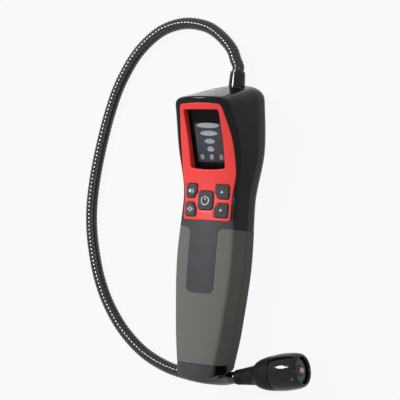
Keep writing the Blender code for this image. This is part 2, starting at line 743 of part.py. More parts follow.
def build_battery_cover():
    """Rubber-faced rear of the handle, with a tongue that hooks into the rear housing."""
    cover = new_object("battery_cover", body_form(0.0, high=GRIP_TOP_Y - CLEARANCE), "grip_rubber",
                       (0, TONGUE_TOP_Y, 0))
    keep_inside(cover, tool(box((-FAR, FAR), (-FAR, FAR), (-FAR, PARTING_Z - CLEARANCE / 2))))
    cut(cover, tool(body_form(WALL, high=GRIP_TOP_Y + 0.01)))
    tongue = box((-TONGUE_HALF, TONGUE_HALF), (GRIP_TOP_Y - TONGUE_ROOT, TONGUE_TOP_Y), (0, WALL))
    fuse(cover, tool(tongue))
    for x in (-HOOK_X, HOOK_X):
        low = WALL + CLEARANCE
        hook = box((x - HOOK_HALF, x + HOOK_HALF), (TONGUE_TOP_Y - HOOK_REACH, TONGUE_TOP_Y + HOOK_REACH),
                   (low, low + HOOK_THICKNESS))
        root = box((x - HOOK_HALF, x + HOOK_HALF), (TONGUE_TOP_Y - HOOK_REACH, TONGUE_TOP_Y),
                   (WALL / 2, low + HOOK_THICKNESS / 2))
        fuse(cover, tool(hook), tool(root))
    return merge_flats(cover)


def build_grip():
    """Rubber skin over the front of the handle, framing the inlay window."""
    grip = new_object("grip_overmold", body_form(0.0), "grip_rubber")
    keep_inside(grip, grip_region(0.0))
    keep_inside(grip, tool(box((-FAR, FAR), (-FAR, FAR), (PARTING_Z + CLEARANCE / 2, FAR))))
    cut(grip, tool(body_form(SKIN)))
    return merge_flats(grip)


def build_faceplate():
    """Red skin over the head and keys, with the deep well round the display."""
    plate = new_object("faceplate", prism(faceplate_outline(0.0), PARTING_Z, FAR), "red_shell")
    keep_inside(plate, tool(body_form(0.0)))
    cut(plate, tool(body_form(SKIN)), tool(prism(keypad_outline(), 0, BODY_DEPTH - KEY_LEDGE)))
    wall = tool(prism(well_outline(WELL_WALL), -LENS_THICKNESS, WELL_HEIGHT, DISPLAY_FRAME))
    keep_inside(wall, tool(body_form(SKIN / 2)))
    fuse(plate, wall)
    cut(plate, tool(prism(well_outline(0.0), -0.004, WELL_HEIGHT + 0.004, DISPLAY_FRAME)))
    for x, y, outline in KEYS.values():
        cut(plate, tool(prism(outline(CLEARANCE), PARTING_Z, FAR)))
    return merge_flats(plate)


def build_key(name):
    """One rubber key: crowned cap, hidden flange and the stem over its switch."""
    x, y, outline = KEYS[name]
    foot = BOARD_TOP_Z + SWITCH_HEIGHT + PLUNGER_HEIGHT + CLEARANCE + KEY_TRAVEL
    ledge = BODY_DEPTH - KEY_LEDGE - CLEARANCE
    if x == 0:
        share = (POWER_HALF_X + KEY_FLANGE) / face_half(y)
        ledge = BODY_DEPTH + CROWN * (1 - share**2) - SKIN - 2 * CLEARANCE
    low = ledge - KEY_FLANGE_THICKNESS
    key = new_object(name, prism(outline(0.0), low, FAR), "key_rubber", (x, y, BODY_DEPTH))
    keep_inside(key, tool(body_form(-KEY_RISE)))
    fuse(key, tool(prism(outline(KEY_FLANGE), low, ledge)),
         tool(disc(STEM_RADIUS, foot, ledge, x, y, 10)))
    return merge_flats(key)


# Pieces under the display


def build_display():
    """Window, indicator panel, its board and the lights, all parallel to the tilted display."""
    lens = prism(well_outline(-CLEARANCE), -LENS_THICKNESS, 0.0, DISPLAY_FRAME)
    new_object("display_window", lens, "smoked_lens")
    top = -LENS_THICKNESS - CLEARANCE
    low = top - PANEL_THICKNESS
    panel = new_object("indicator_panel", prism(well_outline(WELL_WALL / 2), low, top, DISPLAY_FRAME),
                       "panel")
    board_high = low - CLEARANCE
    board = prism(well_outline(-0.0010), board_high - BOARD_THICKNESS, board_high, DISPLAY_FRAME)
    new_object("indicator_board", board, "board")
    for name, x, v, width in light_places():
        cut(panel, tool(prism(oval(x, v, width / 2 + CLEARANCE, LIGHT_HEIGHT / 2 + CLEARANCE),
                              low - 0.001, top + 0.001, DISPLAY_FRAME)))
        light = prism(oval(x, v, width / 2, LIGHT_HEIGHT / 2), board_high + CLEARANCE, top,
                      DISPLAY_FRAME)
        new_object(name, light, "light_guide")


def light_places():
    """Name, place and width of each light."""
    lights = [("level_light_%d" % (i + 1), 0.0, LIGHT_FIRST + LIGHT_PITCH * i, width)
              for i, width in enumerate(LIGHT_WIDTHS)]
    for name, side in (("left", -1), ("middle", 0), ("right", 1)):
        lights.append(("status_light_" + name, side * STATUS_X, LIGHT_FIRST - LIGHT_PITCH,
                       STATUS_WIDTH))
    return lights


def oval(x, y, half_x, half_y, sides=16):
    """Points round an ellipse."""
    return [(x + half_x * cos(2 * pi * k / sides), y + half_y * sin(2 * pi * k / sides))
            for k in range(sides)]


# Pieces inside the handle


def build_boards():
    """Main circuit board with the key switches, the buzzer and the vibration motor."""
    outline = tapered_outline(BOARD_LOW_Y, BOARD_HIGH_Y,
                              lambda y: (side_half(y) + face_half(y)) / 2 - SKIN - WALL - BOARD_SIDE_GAP,
                              BOARD_RADIUS, BODY_PLACES)
    board = new_object("circuit_board", prism(outline, BOARD_Z, BOARD_TOP_Z), "board")
    for x, y in screw_spots():
        cut(board, tool(disc(BOSS_RADIUS + CLEARANCE, 0, FAR, x, y, 12)))
    seat = BOARD_TOP_Z + CLEARANCE
    for name, (x, y, _) in KEYS.items():
        switch = new_object(name.replace("key", "switch"),
                            box((x - SWITCH_HALF, x + SWITCH_HALF), (y - SWITCH_HALF, y + SWITCH_HALF),
                                (seat, BOARD_TOP_Z + SWITCH_HEIGHT)), "part_black")
        fuse(switch, tool(disc(PLUNGER_RADIUS, BOARD_TOP_Z + SWITCH_HEIGHT / 2,
                               BOARD_TOP_Z + SWITCH_HEIGHT + PLUNGER_HEIGHT, x, y, 8)))
    buzzer = turned(((0, seat), (BUZZER_RADIUS, seat), (BUZZER_RADIUS, seat + BUZZER_HEIGHT),
                     (BUZZER_HOLE_RADIUS, seat + BUZZER_HEIGHT),
                     (BUZZER_HOLE_RADIUS, seat + BUZZER_HEIGHT - BUZZER_HOLE_DEPTH),
                     (0, seat + BUZZER_HEIGHT - BUZZER_HOLE_DEPTH)),
                    Matrix.Translation((0, BUZZER_Y, 0)), 20)
    new_object("buzzer", buzzer, "part_black")
    new_object("vibration_motor", disc(MOTOR_RADIUS, seat, seat + MOTOR_HEIGHT, 0, MOTOR_Y, 18),
               "steel")


def build_cells():
    """Four AA cells in two rows, with their springs and contact plates."""
    for column, side in enumerate((-1, 1)):
        for row in range(2):
            low = CELL_LOW_Y + row * (CELL_LENGTH + NUB_LENGTH + CELL_GAP)
            profile = [(0, 0), (CELL_RADIUS, 0), (CELL_RADIUS, CELL_LENGTH),
                       (NUB_RADIUS, CELL_LENGTH), (NUB_RADIUS, CELL_LENGTH + NUB_LENGTH),
                       (0, CELL_LENGTH + NUB_LENGTH)]
            place = Matrix.Translation((side * CELL_X, low, CELL_Z)) @ ALONG_Y
            if side < 0:
                shift = CELL_LENGTH + NUB_LENGTH
                place = place @ Matrix.Translation((0, 0, shift)) @ Matrix.Rotation(pi, 4, "X")
            new_object("cell_%d" % (2 * column + row + 1), turned(profile, place, 20), "cell")
    half = CELL_RADIUS * CONTACT_SHARE
    for name, side in (("left", -1), ("right", 1)):
        x = side * CELL_X
        low = CELL_LOW_Y - CLEARANCE
        new_object("cell_spring_" + name, spring(x, low, -1), "steel")
        ends = (("rear", low - SPRING_LENGTH - CLEARANCE - CONTACT_THICKNESS),
                ("front", CELL_ROW_END + CLEARANCE))
        for end, y in ends:
            plate = box((x - half, x + half), (y, y + CONTACT_THICKNESS),
                        (CELL_Z - half, CELL_Z + half))
            new_object("contact_plate_%s_%s" % (name, end), plate, "steel")


def spring(x, start, direction):
    """Conical cell spring that stands between a plate and a cell's end."""
    steps = SPRING_TURNS * 8
    path = []
    for step in range(steps + 1):
        share = step / steps
        angle = 2 * pi * SPRING_TURNS * share
        radius = SPRING_TIP_RADIUS + (SPRING_FOOT_RADIUS - SPRING_TIP_RADIUS) * share
        reach = SPRING_WIRE + (SPRING_LENGTH - 2 * SPRING_WIRE) * share
        path.append(Vector((x + radius * cos(angle), start + direction * reach,
                            CELL_Z + radius * sin(angle))))
    return tube(path, SPRING_WIRE, 4)


def tube(path, radius, sides):
    """Round tube along a path, with flat ends."""
    rings = []
    normal = None
    for i, point in enumerate(path):
        ahead = path[min(i + 1, len(path) - 1)] - path[max(i - 1, 0)]
        ahead.normalize()
        if normal is None:
            normal = ahead.orthogonal().normalized()
        normal = (normal - ahead * normal.dot(ahead)).normalized()
        across = ahead.cross(normal)
        rings.append([point + normal * (radius * cos(2 * pi * k / sides))
                      + across * (radius * sin(2 * pi * k / sides)) for k in range(sides)])
    return loft(rings)


def build_screws():
    """Four housing screws, driven in from the back."""
    head = SCREW_RECESS + SCREW_HEAD_HEIGHT
    tip = PARTING_Z + SCREW_BITE
    profile = ((0, SCREW_RECESS + SCREW_DRIVE_DEPTH), (SCREW_DRIVE_RADIUS, SCREW_RECESS),
               (SCREW_HEAD_RADIUS, SCREW_RECESS),
               (SCREW_HEAD_RADIUS, head), (SCREW_SHANK_RADIUS, head),
               (SCREW_SHANK_RADIUS, tip - 0.001), (0, tip))
    for number, (x, y) in enumerate(screw_spots()):
        new_object("housing_screw_%d" % (number + 1),
                   turned(profile, Matrix.Translation((x, y, 0)), 12), "steel")


# Neck and sensor head


def end_plane_y(z):
    """Where the head's top face stands at a height."""
    return HEAD_Y - HEAD_LEAN * (z - PARTING_Z)


def build_collar():
    """Collar that holds the neck in the head, with the nut on its spigot inside."""
    place = Matrix.Translation((0, 0, NECK_Z)) @ ALONG_Y
    inner = end_plane_y(NECK_Z) - SPIGOT_LENGTH
    shoulder = end_plane_y(0)
    mouth = COLLAR_TIP_Y - NECK_INSERT
    bore = NECK_RADIUS + 2 * CLEARANCE
    collar = new_object("neck_collar", turned(
        ((0, inner + NUT_THICKNESS), (COLLAR_BASE_RADIUS, inner + NUT_THICKNESS),
         (COLLAR_BASE_RADIUS, shoulder + COLLAR_STEP * 2.5),
         (COLLAR_BASE_RADIUS - COLLAR_STEP, shoulder + COLLAR_STEP * 4),
         (COLLAR_TIP_RADIUS + COLLAR_BEVEL, COLLAR_TIP_Y - COLLAR_STEP), (COLLAR_TIP_RADIUS, COLLAR_TIP_Y),
         (bore, COLLAR_TIP_Y), (bore, mouth), (0, mouth)), place, 24), "gloss_black")
    block = box((-FAR, FAR), (-FAR, 0), (-FAR, FAR))
    slope = top_plane(CLEARANCE)
    bmesh.ops.transform(block, matrix=slope, verts=block.verts)
    cut(collar, tool(block))
    spigot_end = shoulder + COLLAR_STEP * 3
    spigot = turned(((0, inner), (SPIGOT_RADIUS, inner), (SPIGOT_RADIUS, spigot_end), (0, spigot_end)),
                    place, 20)
    fuse(collar, tool(spigot))
    nut_low = inner + CLEARANCE
    nut_high = nut_low + NUT_THICKNESS - CLEARANCE
    nut_bore = SPIGOT_RADIUS + CLEARANCE
    nut = turned(((nut_bore, nut_low), (NUT_RADIUS, nut_low), (NUT_RADIUS, nut_high), (nut_bore, nut_high)),
                 place, 18)
    new_object("neck_nut", nut, "steel")


def probe_frame():
    """Frame whose Z axis runs along the sensor head, from the boot's end to the mouth."""
    return (Matrix.Translation((PROBE_X, PROBE_Y, PROBE_Z)) @ Matrix.Rotation(PROBE_TURN, 4, "Z")
            @ Matrix.Rotation(pi / 2, 4, "Y"))


def neck_path():
    """Smooth centre line of the neck, from inside the collar to inside the boot."""
    frame = probe_frame()
    probe_in = frame @ Vector((0, 0, NECK_INSERT - CLEARANCE))
    start_y = COLLAR_TIP_Y - NECK_INSERT + CLEARANCE
    points = [Vector((0, start_y, NECK_Z)), Vector((0, start_y + 0.004, NECK_Z)),
              Vector((0, COLLAR_TIP_Y - 0.001, NECK_Z)), Vector((0, COLLAR_TIP_Y + 0.001, NECK_Z))]
    last = len(NECK_ROUTE) - 1
    for i, (x, y) in enumerate(NECK_ROUTE):
        drop = max(0.0, 1 - i / 4)
        z = NECK_FLOOR + (NECK_Z - NECK_FLOOR) * drop * drop
        climb = max(0.0, (i - last + 2) / 2)
        z += 0.0010 * climb
        points.append(Vector((x, y, z)))
    points.append(frame @ Vector((0, 0, -0.0120)) + Vector((0, -0.0002, -0.0040)))
    points.append(frame @ Vector((0, 0, -0.0050)) + Vector((0, 0, -0.0008)))
    points.append(frame @ Vector((0, 0, 0.0000)))
    points.append(probe_in)
    return resample(points, NECK_POINTS)


def resample(points, count):
    """Evenly spaced points on the smooth curve through hand-chosen ones."""
    fine = []
    padded = [2 * points[0] - points[1]] + points + [2 * points[-1] - points[-2]]
    for a, b, c, d in zip(padded, padded[1:], padded[2:], padded[3:]):
        for step in range(12):
            t = step / 12
            fine.append(0.5 * (2 * b + (c - a) * t + (2 * a - 5 * b + 4 * c - d) * t**2
                               + (3 * b - a - 3 * c + d) * t**3))
    fine.append(points[-1])
    lengths = [0.0]
    for a, b in zip(fine, fine[1:]):
        lengths.append(lengths[-1] + (b - a).length)
    evened = []
    at = 0
    for k in range(count):
        goal = lengths[-1] * k / (count - 1)
        while at < len(lengths) - 2 and lengths[at + 1] < goal:
            at += 1
        share = (goal - lengths[at]) / (lengths[at + 1] - lengths[at])
        evened.append(fine[at].lerp(fine[at + 1], share))
    return evened


def build_neck():
    """Bendable neck, one solid along its whole route."""
    new_object("gooseneck", tube(neck_path(), NECK_RADIUS, NECK_SIDES), "neck")


def build_probe():
    """Rubber boot, screw-on cap, sensor, filter ring and seal of the sensor head."""
    frame = probe_frame()
    seam = PROBE_SEAM
    spigot_end = seam + THREAD_LENGTH
    groove = seam + SEAL_REACH
    groove_end = groove + 2 * (SEAL_WIRE + CLEARANCE)
    groove_floor = THREAD_RADIUS - 2 * SEAL_WIRE - CLEARANCE
    inside = THREAD_RADIUS - BOOT_WALL
    floor_z = NECK_INSERT + BOOT_FLOOR
    flare = [(radius, BOOT_SLEEVE + reach) for radius, reach in BOOT_FLARE]
    boot = [(NECK_RADIUS + CLEARANCE, 0), (BOOT_END_RADIUS, 0), (BOOT_SLEEVE_RADIUS, BOOT_SLEEVE)]
    boot += flare + [(BOOT_RIM_RADIUS, seam), (THREAD_RADIUS, seam), (THREAD_RADIUS, groove),
                     (groove_floor, groove), (groove_floor, groove_end), (THREAD_RADIUS, groove_end),
                     (THREAD_RADIUS, spigot_end), (inside, spigot_end), (inside, flare[-1][1]),
                     (NECK_RADIUS, floor_z), (0, floor_z), (0, NECK_INSERT),
                     (NECK_RADIUS + CLEARANCE, NECK_INSERT)]
    new_object("probe_boot", turned(boot, frame, 24), "boot")
    seal = [(THREAD_RADIUS - SEAL_WIRE + SEAL_WIRE * cos(k * pi / 3),
             (groove + groove_end) / 2 + SEAL_WIRE * sin(k * pi / 3)) for k in range(6)]
    new_object("seal_ring", turned(seal, frame, 24), "part_black")
    front = PROBE_LENGTH
    lip = front - MOUTH_DEPTH
    cap = [(CAP_BORE_RADIUS, seam + CLEARANCE)]
    cap += [(radius, seam + reach) for radius, reach in CAP_SHAPE]
    cap += [(radius, front - reach) for radius, reach in CAP_NOSE]
    cap += [(MOUTH_RADIUS, front - CAP_MOUTH_BEVEL), (MOUTH_RADIUS, lip),
            (CAP_BORE_RADIUS, lip - CAP_LIP_DEPTH)]
    new_object("sensor_cap", turned(cap, frame, 28), "gloss_black", tuple(frame.translation))
    sensor_top = lip - SENSOR_DROP
    sensor = ((0, SENSOR_BACK), (SENSOR_RADIUS, SENSOR_BACK), (SENSOR_RADIUS, sensor_top),
              (ELEMENT_RADIUS, sensor_top), (ELEMENT_RADIUS, lip + ELEMENT_RISE - ELEMENT_BEVEL),
              (ELEMENT_RADIUS - ELEMENT_BEVEL, lip + ELEMENT_RISE), (0, lip + ELEMENT_RISE))
    new_object("gas_sensor", turned(sensor, frame, 24), "sensor")
    low = sensor_top + CLEARANCE
    ring = ((FILTER_INNER, low), (FILTER_OUTER, low), (FILTER_OUTER, low + FILTER_THICKNESS),
            (FILTER_INNER, low + FILTER_THICKNESS))
    new_object("filter_ring", turned(ring, frame, 24), "filter")


def main():
    """Clear the scene and build every piece."""
    for old in list(bpy.data.objects):
        bpy.data.objects.remove(old)
    build_front_housing()
    build_rear_housing()
    build_battery_cover()
    build_grip()
    build_faceplate()
    for name in KEYS:
        build_key(name)
    build_display()
    build_boards()
    build_cells()
    build_screws()
    build_collar()
    build_neck()
    build_probe()


main()
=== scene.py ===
"""Fine surfaces, finishes, lights and camera of a handheld combustible gas detector.

Everything is in metres in the detector's own frame: +Y to the display head, +Z out of the face.
"""
import bmesh
import bpy
import numpy as np
from math import atan2, cos, pi, radians, sin, sqrt
from mathutils import Matrix, Vector
from mathutils.geometry import delaunay_2d_cdt


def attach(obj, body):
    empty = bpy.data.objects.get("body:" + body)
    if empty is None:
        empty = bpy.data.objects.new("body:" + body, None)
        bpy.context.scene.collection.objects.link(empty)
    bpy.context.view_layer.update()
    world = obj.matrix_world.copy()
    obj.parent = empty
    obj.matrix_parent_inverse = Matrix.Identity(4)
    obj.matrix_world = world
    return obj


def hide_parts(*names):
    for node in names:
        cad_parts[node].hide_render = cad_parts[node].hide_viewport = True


bl_info = {
    "name": "Combustible gas detector",
    "version": (1, 0, 0),
    "blender": (4, 5, 0),
    "location": "3D View > Sidebar > Detector",
    "description": "Fine surfaces and finishes of a handheld gas detector",
    "category": "Object",
}

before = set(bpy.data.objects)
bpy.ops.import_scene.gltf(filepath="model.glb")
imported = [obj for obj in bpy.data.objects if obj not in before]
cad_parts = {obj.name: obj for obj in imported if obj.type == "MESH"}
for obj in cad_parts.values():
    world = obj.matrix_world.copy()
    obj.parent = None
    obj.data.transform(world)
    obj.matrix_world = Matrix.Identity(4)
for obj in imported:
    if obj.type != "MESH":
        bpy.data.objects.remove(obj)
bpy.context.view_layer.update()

# Body form, with the fullness of the real moulding over the solids
CLEARANCE = 0.0003
SEAM = 0.00012
WALL = 0.0020
SKIN = 0.0016
BODY_DEPTH = 0.0285
PARTING_Z = 0.0145
POCKET_Z = PARTING_Z + 0.004
INLAY_LOW_Z = BODY_DEPTH - 0.006
CROWN = 0.0033
BACK_RADIUS = 0.0080
FACE_RADIUS = 0.0022
TAIL_Y = -0.0913
TAIL_LEAN = 0.228
TAIL_LEAN_LENGTH = 0.030
HEAD_Y = 0.1000
HEAD_LEAN = 0.310
HEAD_LEAN_LENGTH = 0.045
HEAD_BOW = 0.0020
HEAD_BOW_LENGTH = 0.022
TAIL_CORNER = 0.0025
END_LIP = 0.0005
END_STEPS = 14
HEAD_CORNER = 0.0050
HEAD_BACK_CORNER = 0.0085
HEAD_BACK_EDGE = 0.0065
EDGE_RADIUS = 0.0020
SWOOP_START = 0.0240
SWOOP_RADIUS = 0.1049
FULLNESS = 0.0018
SIDES = ((TAIL_Y, 0.0142), (-0.060, 0.0187), (-0.012, 0.0222), (0.024, 0.0212), (0.060, 0.0253),
         (HEAD_Y, 0.0210))
DRAFTS = ((TAIL_Y, 0.0015), (-0.012, 0.0015), (0.024, 0.0021), (0.060, 0.0026), (HEAD_Y, 0.0040))

# Thin frame sunk in the head's top
RECESS_X = -0.0048
RECESS_HALF = 0.0065
RECESS_LOW = 0.0035
RECESS_HIGH = 0.0200
RECESS_LINE = 0.0006
RECESS_DEPTH = 0.0008
RECESS_RADIUS = 0.0010

# Grip, battery cover and screws
GRIP_TOP_Y = 0.0055
GRIP_BASE_Y = -0.0849
WINDOW_HALF = 0.01085
WINDOW_LOW_Y = -0.0380
WINDOW_RADIUS = 0.0045
ARM_RADIUS = 0.0040
TONGUE_HALF = 0.0155
TONGUE_TOP_Y = 0.0365
SCREW_HEAD_RADIUS = 0.0027
SCREW_HEAD_HEIGHT = 0.0018
SCREW_RECESS = 0.0008
SCREW_SPOTS = [(side * x, y) for x, y in ((0.0145, 0.0440), (0.0135, 0.0860)) for side in (-1, 1)]
SCREW_HOLE_RADIUS = 0.0015
BOSS_RADIUS = 0.0034
HOOK_X = 0.0090
HOOK_HALF = 0.0030
HOOK_REACH = 0.0020
HOOK_THICKNESS = 0.0012

# Faceplate, display and keys
FACEPLATE_LOW_Y = 0.0103
FACEPLATE_HIGH_Y = 0.0857
FACEPLATE_SIDES = ((0.0103, 0.0190), (0.024, 0.0189), (0.044, 0.0215), (0.060, 0.0210), (0.0863, 0.0164))
FACEPLATE_RADIUS = 0.0024
FACEPLATE_BOW = 0.0008
DISPLAY_FRAME = Matrix.Translation((0, 0.0524, 0.0302)) @ Matrix.Rotation(radians(21.2), 4, "X")
WELL_LOW = -0.0060
WELL_HIGH = 0.0338
WELL_HALF_LOW = 0.0138
WELL_HALF_HIGH = 0.0140
WELL_LOW_BOW = 0.0007
LENS_LOW = -0.0080
WELL_HIGH_BOW = 0.0004
WELL_RADIUS = 0.0016
WELL_WALL = 0.0012
LENS_THICKNESS = 0.0012
FIELD_HALF = 0.01055
FIELD_LOW = -0.0033
FIELD_HIGH = 0.0234
FIELD_EDGE = 0.0002
PANEL_THICKNESS = 0.0014
LIGHT_PITCH = 0.0054
LIGHT_HEIGHT = 0.0036
LIGHT_WIDTHS = (0.0057, 0.0083, 0.0137, 0.0180)
STATUS_X = 0.0076
STATUS_WIDTH = 0.0031
KEY_RISE = 0.0010
KEYPAD_Y = 0.0235
POWER_HALF = (0.0059, 0.00625)
POWER_RADIUS = 0.0022
SIDE_KEY_X = 0.0121
SIDE_KEY_PITCH = 0.0062
SIDE_KEY_HALF = (0.00475, 0.00465)
SIDE_KEY_RADIUS = 0.0011
SIDE_KEY_CHAMFER = (0.0026, 0.0040)
KEYPAD_MARGIN = 0.0009
BOLD_LINE = 0.000483
FINE_LINE = 0.000336

# Cells
CELL_RADIUS = 0.00725
CELL_GAP = 0.0004
CELL_PAIR_GAP = 0.0005
CELL_LOW_Y = -0.0735
CELL_ROW_END = CELL_LOW_Y + 2 * (0.0492 + 0.0013) + CELL_GAP
CELL_PLATE = 0.0012
SPRING_LENGTH = 0.0030
SPRING_SEAT = 0.0018
CRADLE_TOP_Z = 0.0189
CRADLE_BASE_Z = 0.0125

# Neck and sensor head
NECK_RADIUS = 0.0042
NECK_ROOT_X = 0.0012
NECK_Z = 0.0070
NECK_FLOOR = 0.0045
NECK_INSERT = 0.0080
NECK_HOLE_RADIUS = 0.0035
COLLAR_BASE_RADIUS = 0.0057
COLLAR_TIP_RADIUS = 0.0052
COLLAR_TIP_Y = 0.1175
COLLAR_SEEN_TIP_Y = 0.1138
NECK_ROUTE = (
    (-0.0013, 0.1222), (-0.0057, 0.1297), (-0.0137, 0.1374), (-0.0227, 0.1437),
    (-0.0315, 0.1474), (-0.0444, 0.1496), (-0.0573, 0.1485), (-0.0701, 0.1439),
    (-0.0826, 0.1347), (-0.0926, 0.1230), (-0.1023, 0.1054), (-0.1083, 0.0877),
    (-0.1125, 0.0700), (-0.1157, 0.0521), (-0.1178, 0.0344), (-0.1184, 0.0167),
    (-0.1165, -0.0010), (-0.1121, -0.0183), (-0.1057, -0.0354), (-0.0962, -0.0520),
    (-0.0840, -0.0667), (-0.0721, -0.0769), (-0.0607, -0.0842), (-0.0497, -0.0890),
    (-0.0390, -0.0923), (-0.0286, -0.0942), (-0.0116, -0.0958), (0.0014, -0.0956),
)
PROBE_FRAME = (Matrix.Translation((0.0235, -0.0918, 0.0122)) @ Matrix.Rotation(radians(12.0), 4, "Z")
               @ Matrix.Rotation(pi / 2, 4, "Y"))
PROBE_LENGTH = 0.0490
PROBE_SEAM = 0.0298
THREAD_RADIUS = 0.0096
SENSOR_RADIUS = 0.0080
SENSOR_BACK = 0.0330

# Photograph's view
CAMERA_PLACE = Vector((0.4752, -0.0150, 0.7376))
CAMERA_RIGHT = Vector((0.8264, 0.0809, -0.5574))
CAMERA_UP = Vector((-0.0421, 0.9960, 0.0830))
CAMERA_BACK = Vector((0.5615, -0.0451, 0.8262))
CAMERA_LENS = 115.2

FLOOR_HALF = 3.0
FLOOR_Z = -0.0002
FLOOR_WHITE = 0.92
WORLD_LIGHT = 0.20

# Beyond every piece, and the steps of forms that don't show
FAR = 0.2
COARSE = {"step": 0.006, "bends": 4}


# Settings that a user would change


def length_setting(name, description, default):
    """A length that a user may change."""
    return bpy.props.FloatProperty(name=name, description=description, default=default, unit="LENGTH")


def power_setting(name, description, default):
    """A lamp's power that a user may change."""
    return bpy.props.FloatProperty(name=name, description=description, default=default, unit="POWER")


def colour_setting(name, description, default):
    """A colour that a user may change."""
    return bpy.props.FloatVectorProperty(name=name, description=description, default=default,
                                         subtype="COLOR")


class DetectorBody(bpy.types.PropertyGroup):
    """Sizes of the body's fine detail."""
    edge: length_setting("Edge rounding", "Radius of the faceplate's edges", 0.00035)
    grip_edge: length_setting("Grip rounding", "Radius of the rubber grip's edges", 0.0005)
    key_edge: length_setting("Key rounding", "Radius of the keys' edges", 0.0006)


class DetectorNeck(bpy.types.PropertyGroup):
    """Sizes of the bendable neck's winding."""
    pitch: length_setting("Rib pitch", "Distance from one rib of the neck to the next", 0.0029)
    groove: length_setting("Groove depth", "Depth of the grooves between the neck's ribs", 0.00022)
    sides: bpy.props.IntProperty(
        name="Sides", description="Flat sides round one rib of the neck", default=18)


class DetectorColours(bpy.types.PropertyGroup):
    """Colours of the visible finishes."""
    shell: colour_setting("Shell", "Black plastic", (0.004, 0.004, 0.005))
    inlay: colour_setting("Inlay", "Charcoal face of the handle", (0.050, 0.051, 0.055))
    faceplate: colour_setting("Faceplate", "Red plastic", (0.84, 0.056, 0.050))
    grip: colour_setting("Grip", "Olive-grey rubber", (0.106, 0.107, 0.090))
    keys: colour_setting("Keys", "Dark rubber of the keys", (0.014, 0.015, 0.017))
    marks: colour_setting("Key marks", "Print on the keys", (0.80, 0.81, 0.82))
    floor: colour_setting("Floor", "Pale floor", (0.36, 0.36, 0.36))


class DetectorStage(bpy.types.PropertyGroup):
    """Light on the detector."""
    key_light: power_setting("Key light", "Power of the large lamp", 11.0)
    fill_light: power_setting("Fill light", "Power of the small lamps", 2.0)


# The body's curves


def smooth(y, points):
    """Height of the smooth curve through (y, value) points, with no overshoot."""
    if y <= points[0][0]:
        return points[0][1]
    if y >= points[-1][0]:
        return points[-1][1]
    spans = [b[0] - a[0] for a, b in zip(points, points[1:])]
    slopes = [(b[1] - a[1]) / span for a, b, span in zip(points, points[1:], spans)]
    tangents = [slopes[0]]
    for before, after in zip(slopes, slopes[1:]):
        tangents.append(0.0 if before * after <= 0 else 2 * before * after / (before + after))
    tangents.append(slopes[-1])
    i = max(k for k in range(len(spans)) if points[k][0] <= y)
    t = (y - points[i][0]) / spans[i]
    return (points[i][1] * (2 * t**3 - 3 * t**2 + 1)
            + spans[i] * tangents[i] * (t**3 - 2 * t**2 + t)
            + points[i + 1][1] * (3 * t**2 - 2 * t**3)
            + spans[i] * tangents[i + 1] * (t**3 - t**2))


def side_half(y):
    """Half-width of the body."""
    return smooth(y, SIDES) + FULLNESS


def face_half(y):
    """Half-width of the front face at its corner."""
    return side_half(y) - smooth(y, DRAFTS)


def face_z(y):
    """Height of the front face's corner: level along the handle, then a rising swoop."""
    return BODY_DEPTH + max(0.0, y - SWOOP_START)**2 / (2 * SWOOP_RADIUS)


def lean(y):
    """Slope of a cross-section plane, nil along the handle and full at both ends."""
    head = min(1.0, max(0.0, (y - HEAD_Y + HEAD_LEAN_LENGTH) / HEAD_LEAN_LENGTH))
    tail = min(1.0, max(0.0, (TAIL_Y + TAIL_LEAN_LENGTH - y) / TAIL_LEAN_LENGTH))
    return -(HEAD_LEAN * head * head * (3 - 2 * head) + TAIL_LEAN * tail * tail * (3 - 2 * tail))


def last(low, high, holds):
    """Last value between two for which a test holds that holds for the low one."""
    for _ in range(30):
        middle = (low + high) / 2
        if holds(middle):
            low = middle
        else:
            high = middle
    return low


def rounding(distance, radius):
    """How far a rounded edge has pulled in at a distance from its end."""
    if distance >= radius:
        return 0.0
    return radius - sqrt(max(0.0, radius**2 - (radius - distance)**2))


def half_ring(y, inset=0.0, pulls=(0.0, 0.0, 0.0, 0.0), bends=8):
    """Right half of the section at a station, from the middle of the face to that of the back.

    The pulls draw in the face's sides, the face, the body's sides and the back.
    """
    tilt = lean(y)
    front_y = y
    for _ in range(6):
        front_y = y + tilt * (face_z(front_y) - PARTING_Z)
    side = side_half(y) - inset - pulls[2]
    edge = face_half(front_y) - inset - pulls[0]
    back = inset + pulls[3]
    top = face_z(front_y) - inset - pulls[1]
    radius = max(BACK_RADIUS - inset, 0.0012)
    crown_x = edge - FACE_RADIUS
    crown = [(crown_x * k / bends, top + CROWN * (1 - (crown_x * k / bends / edge)**2))
             for k in range(bends + 1)]
    corner = Vector((edge, top))
    above = Vector(crown[-1])
    below = (Vector((side, PARTING_Z)) - corner).normalized() * FACE_RADIUS + corner
    fillet = []
    for k in range(1, bends + 1):
        t = k / bends
        spot = above * (1 - t)**2 + corner * (2 * t * (1 - t)) + below * t**2
        fillet.append((spot.x, spot.y))
    low = max(PARTING_Z, back + radius + 0.0005)
    arc = []
    for k in range(bends + 1):
        angle = pi / 2 * k / bends
        arc.append((side - radius + radius * cos(angle), back + radius - radius * sin(angle)))
    floor = [((side - radius) * k / bends, back) for k in range(bends - 1, -1, -1)]
    return [Vector((x, y + bow(x, y) + tilt * (z - PARTING_Z), z))
            for x, z in crown + fillet + [(side, low)] + arc + floor]


def bow(x, y):
    """How far the middle of a cross-section stands towards the head, most at its end."""
    share = min(1.0, max(0.0, (y - HEAD_Y + HEAD_BOW_LENGTH) / HEAD_BOW_LENGTH))
    return HEAD_BOW * share * share * (3 - 2 * share) * max(0.0, 1 - (x / SIDES[-1][1])**2)


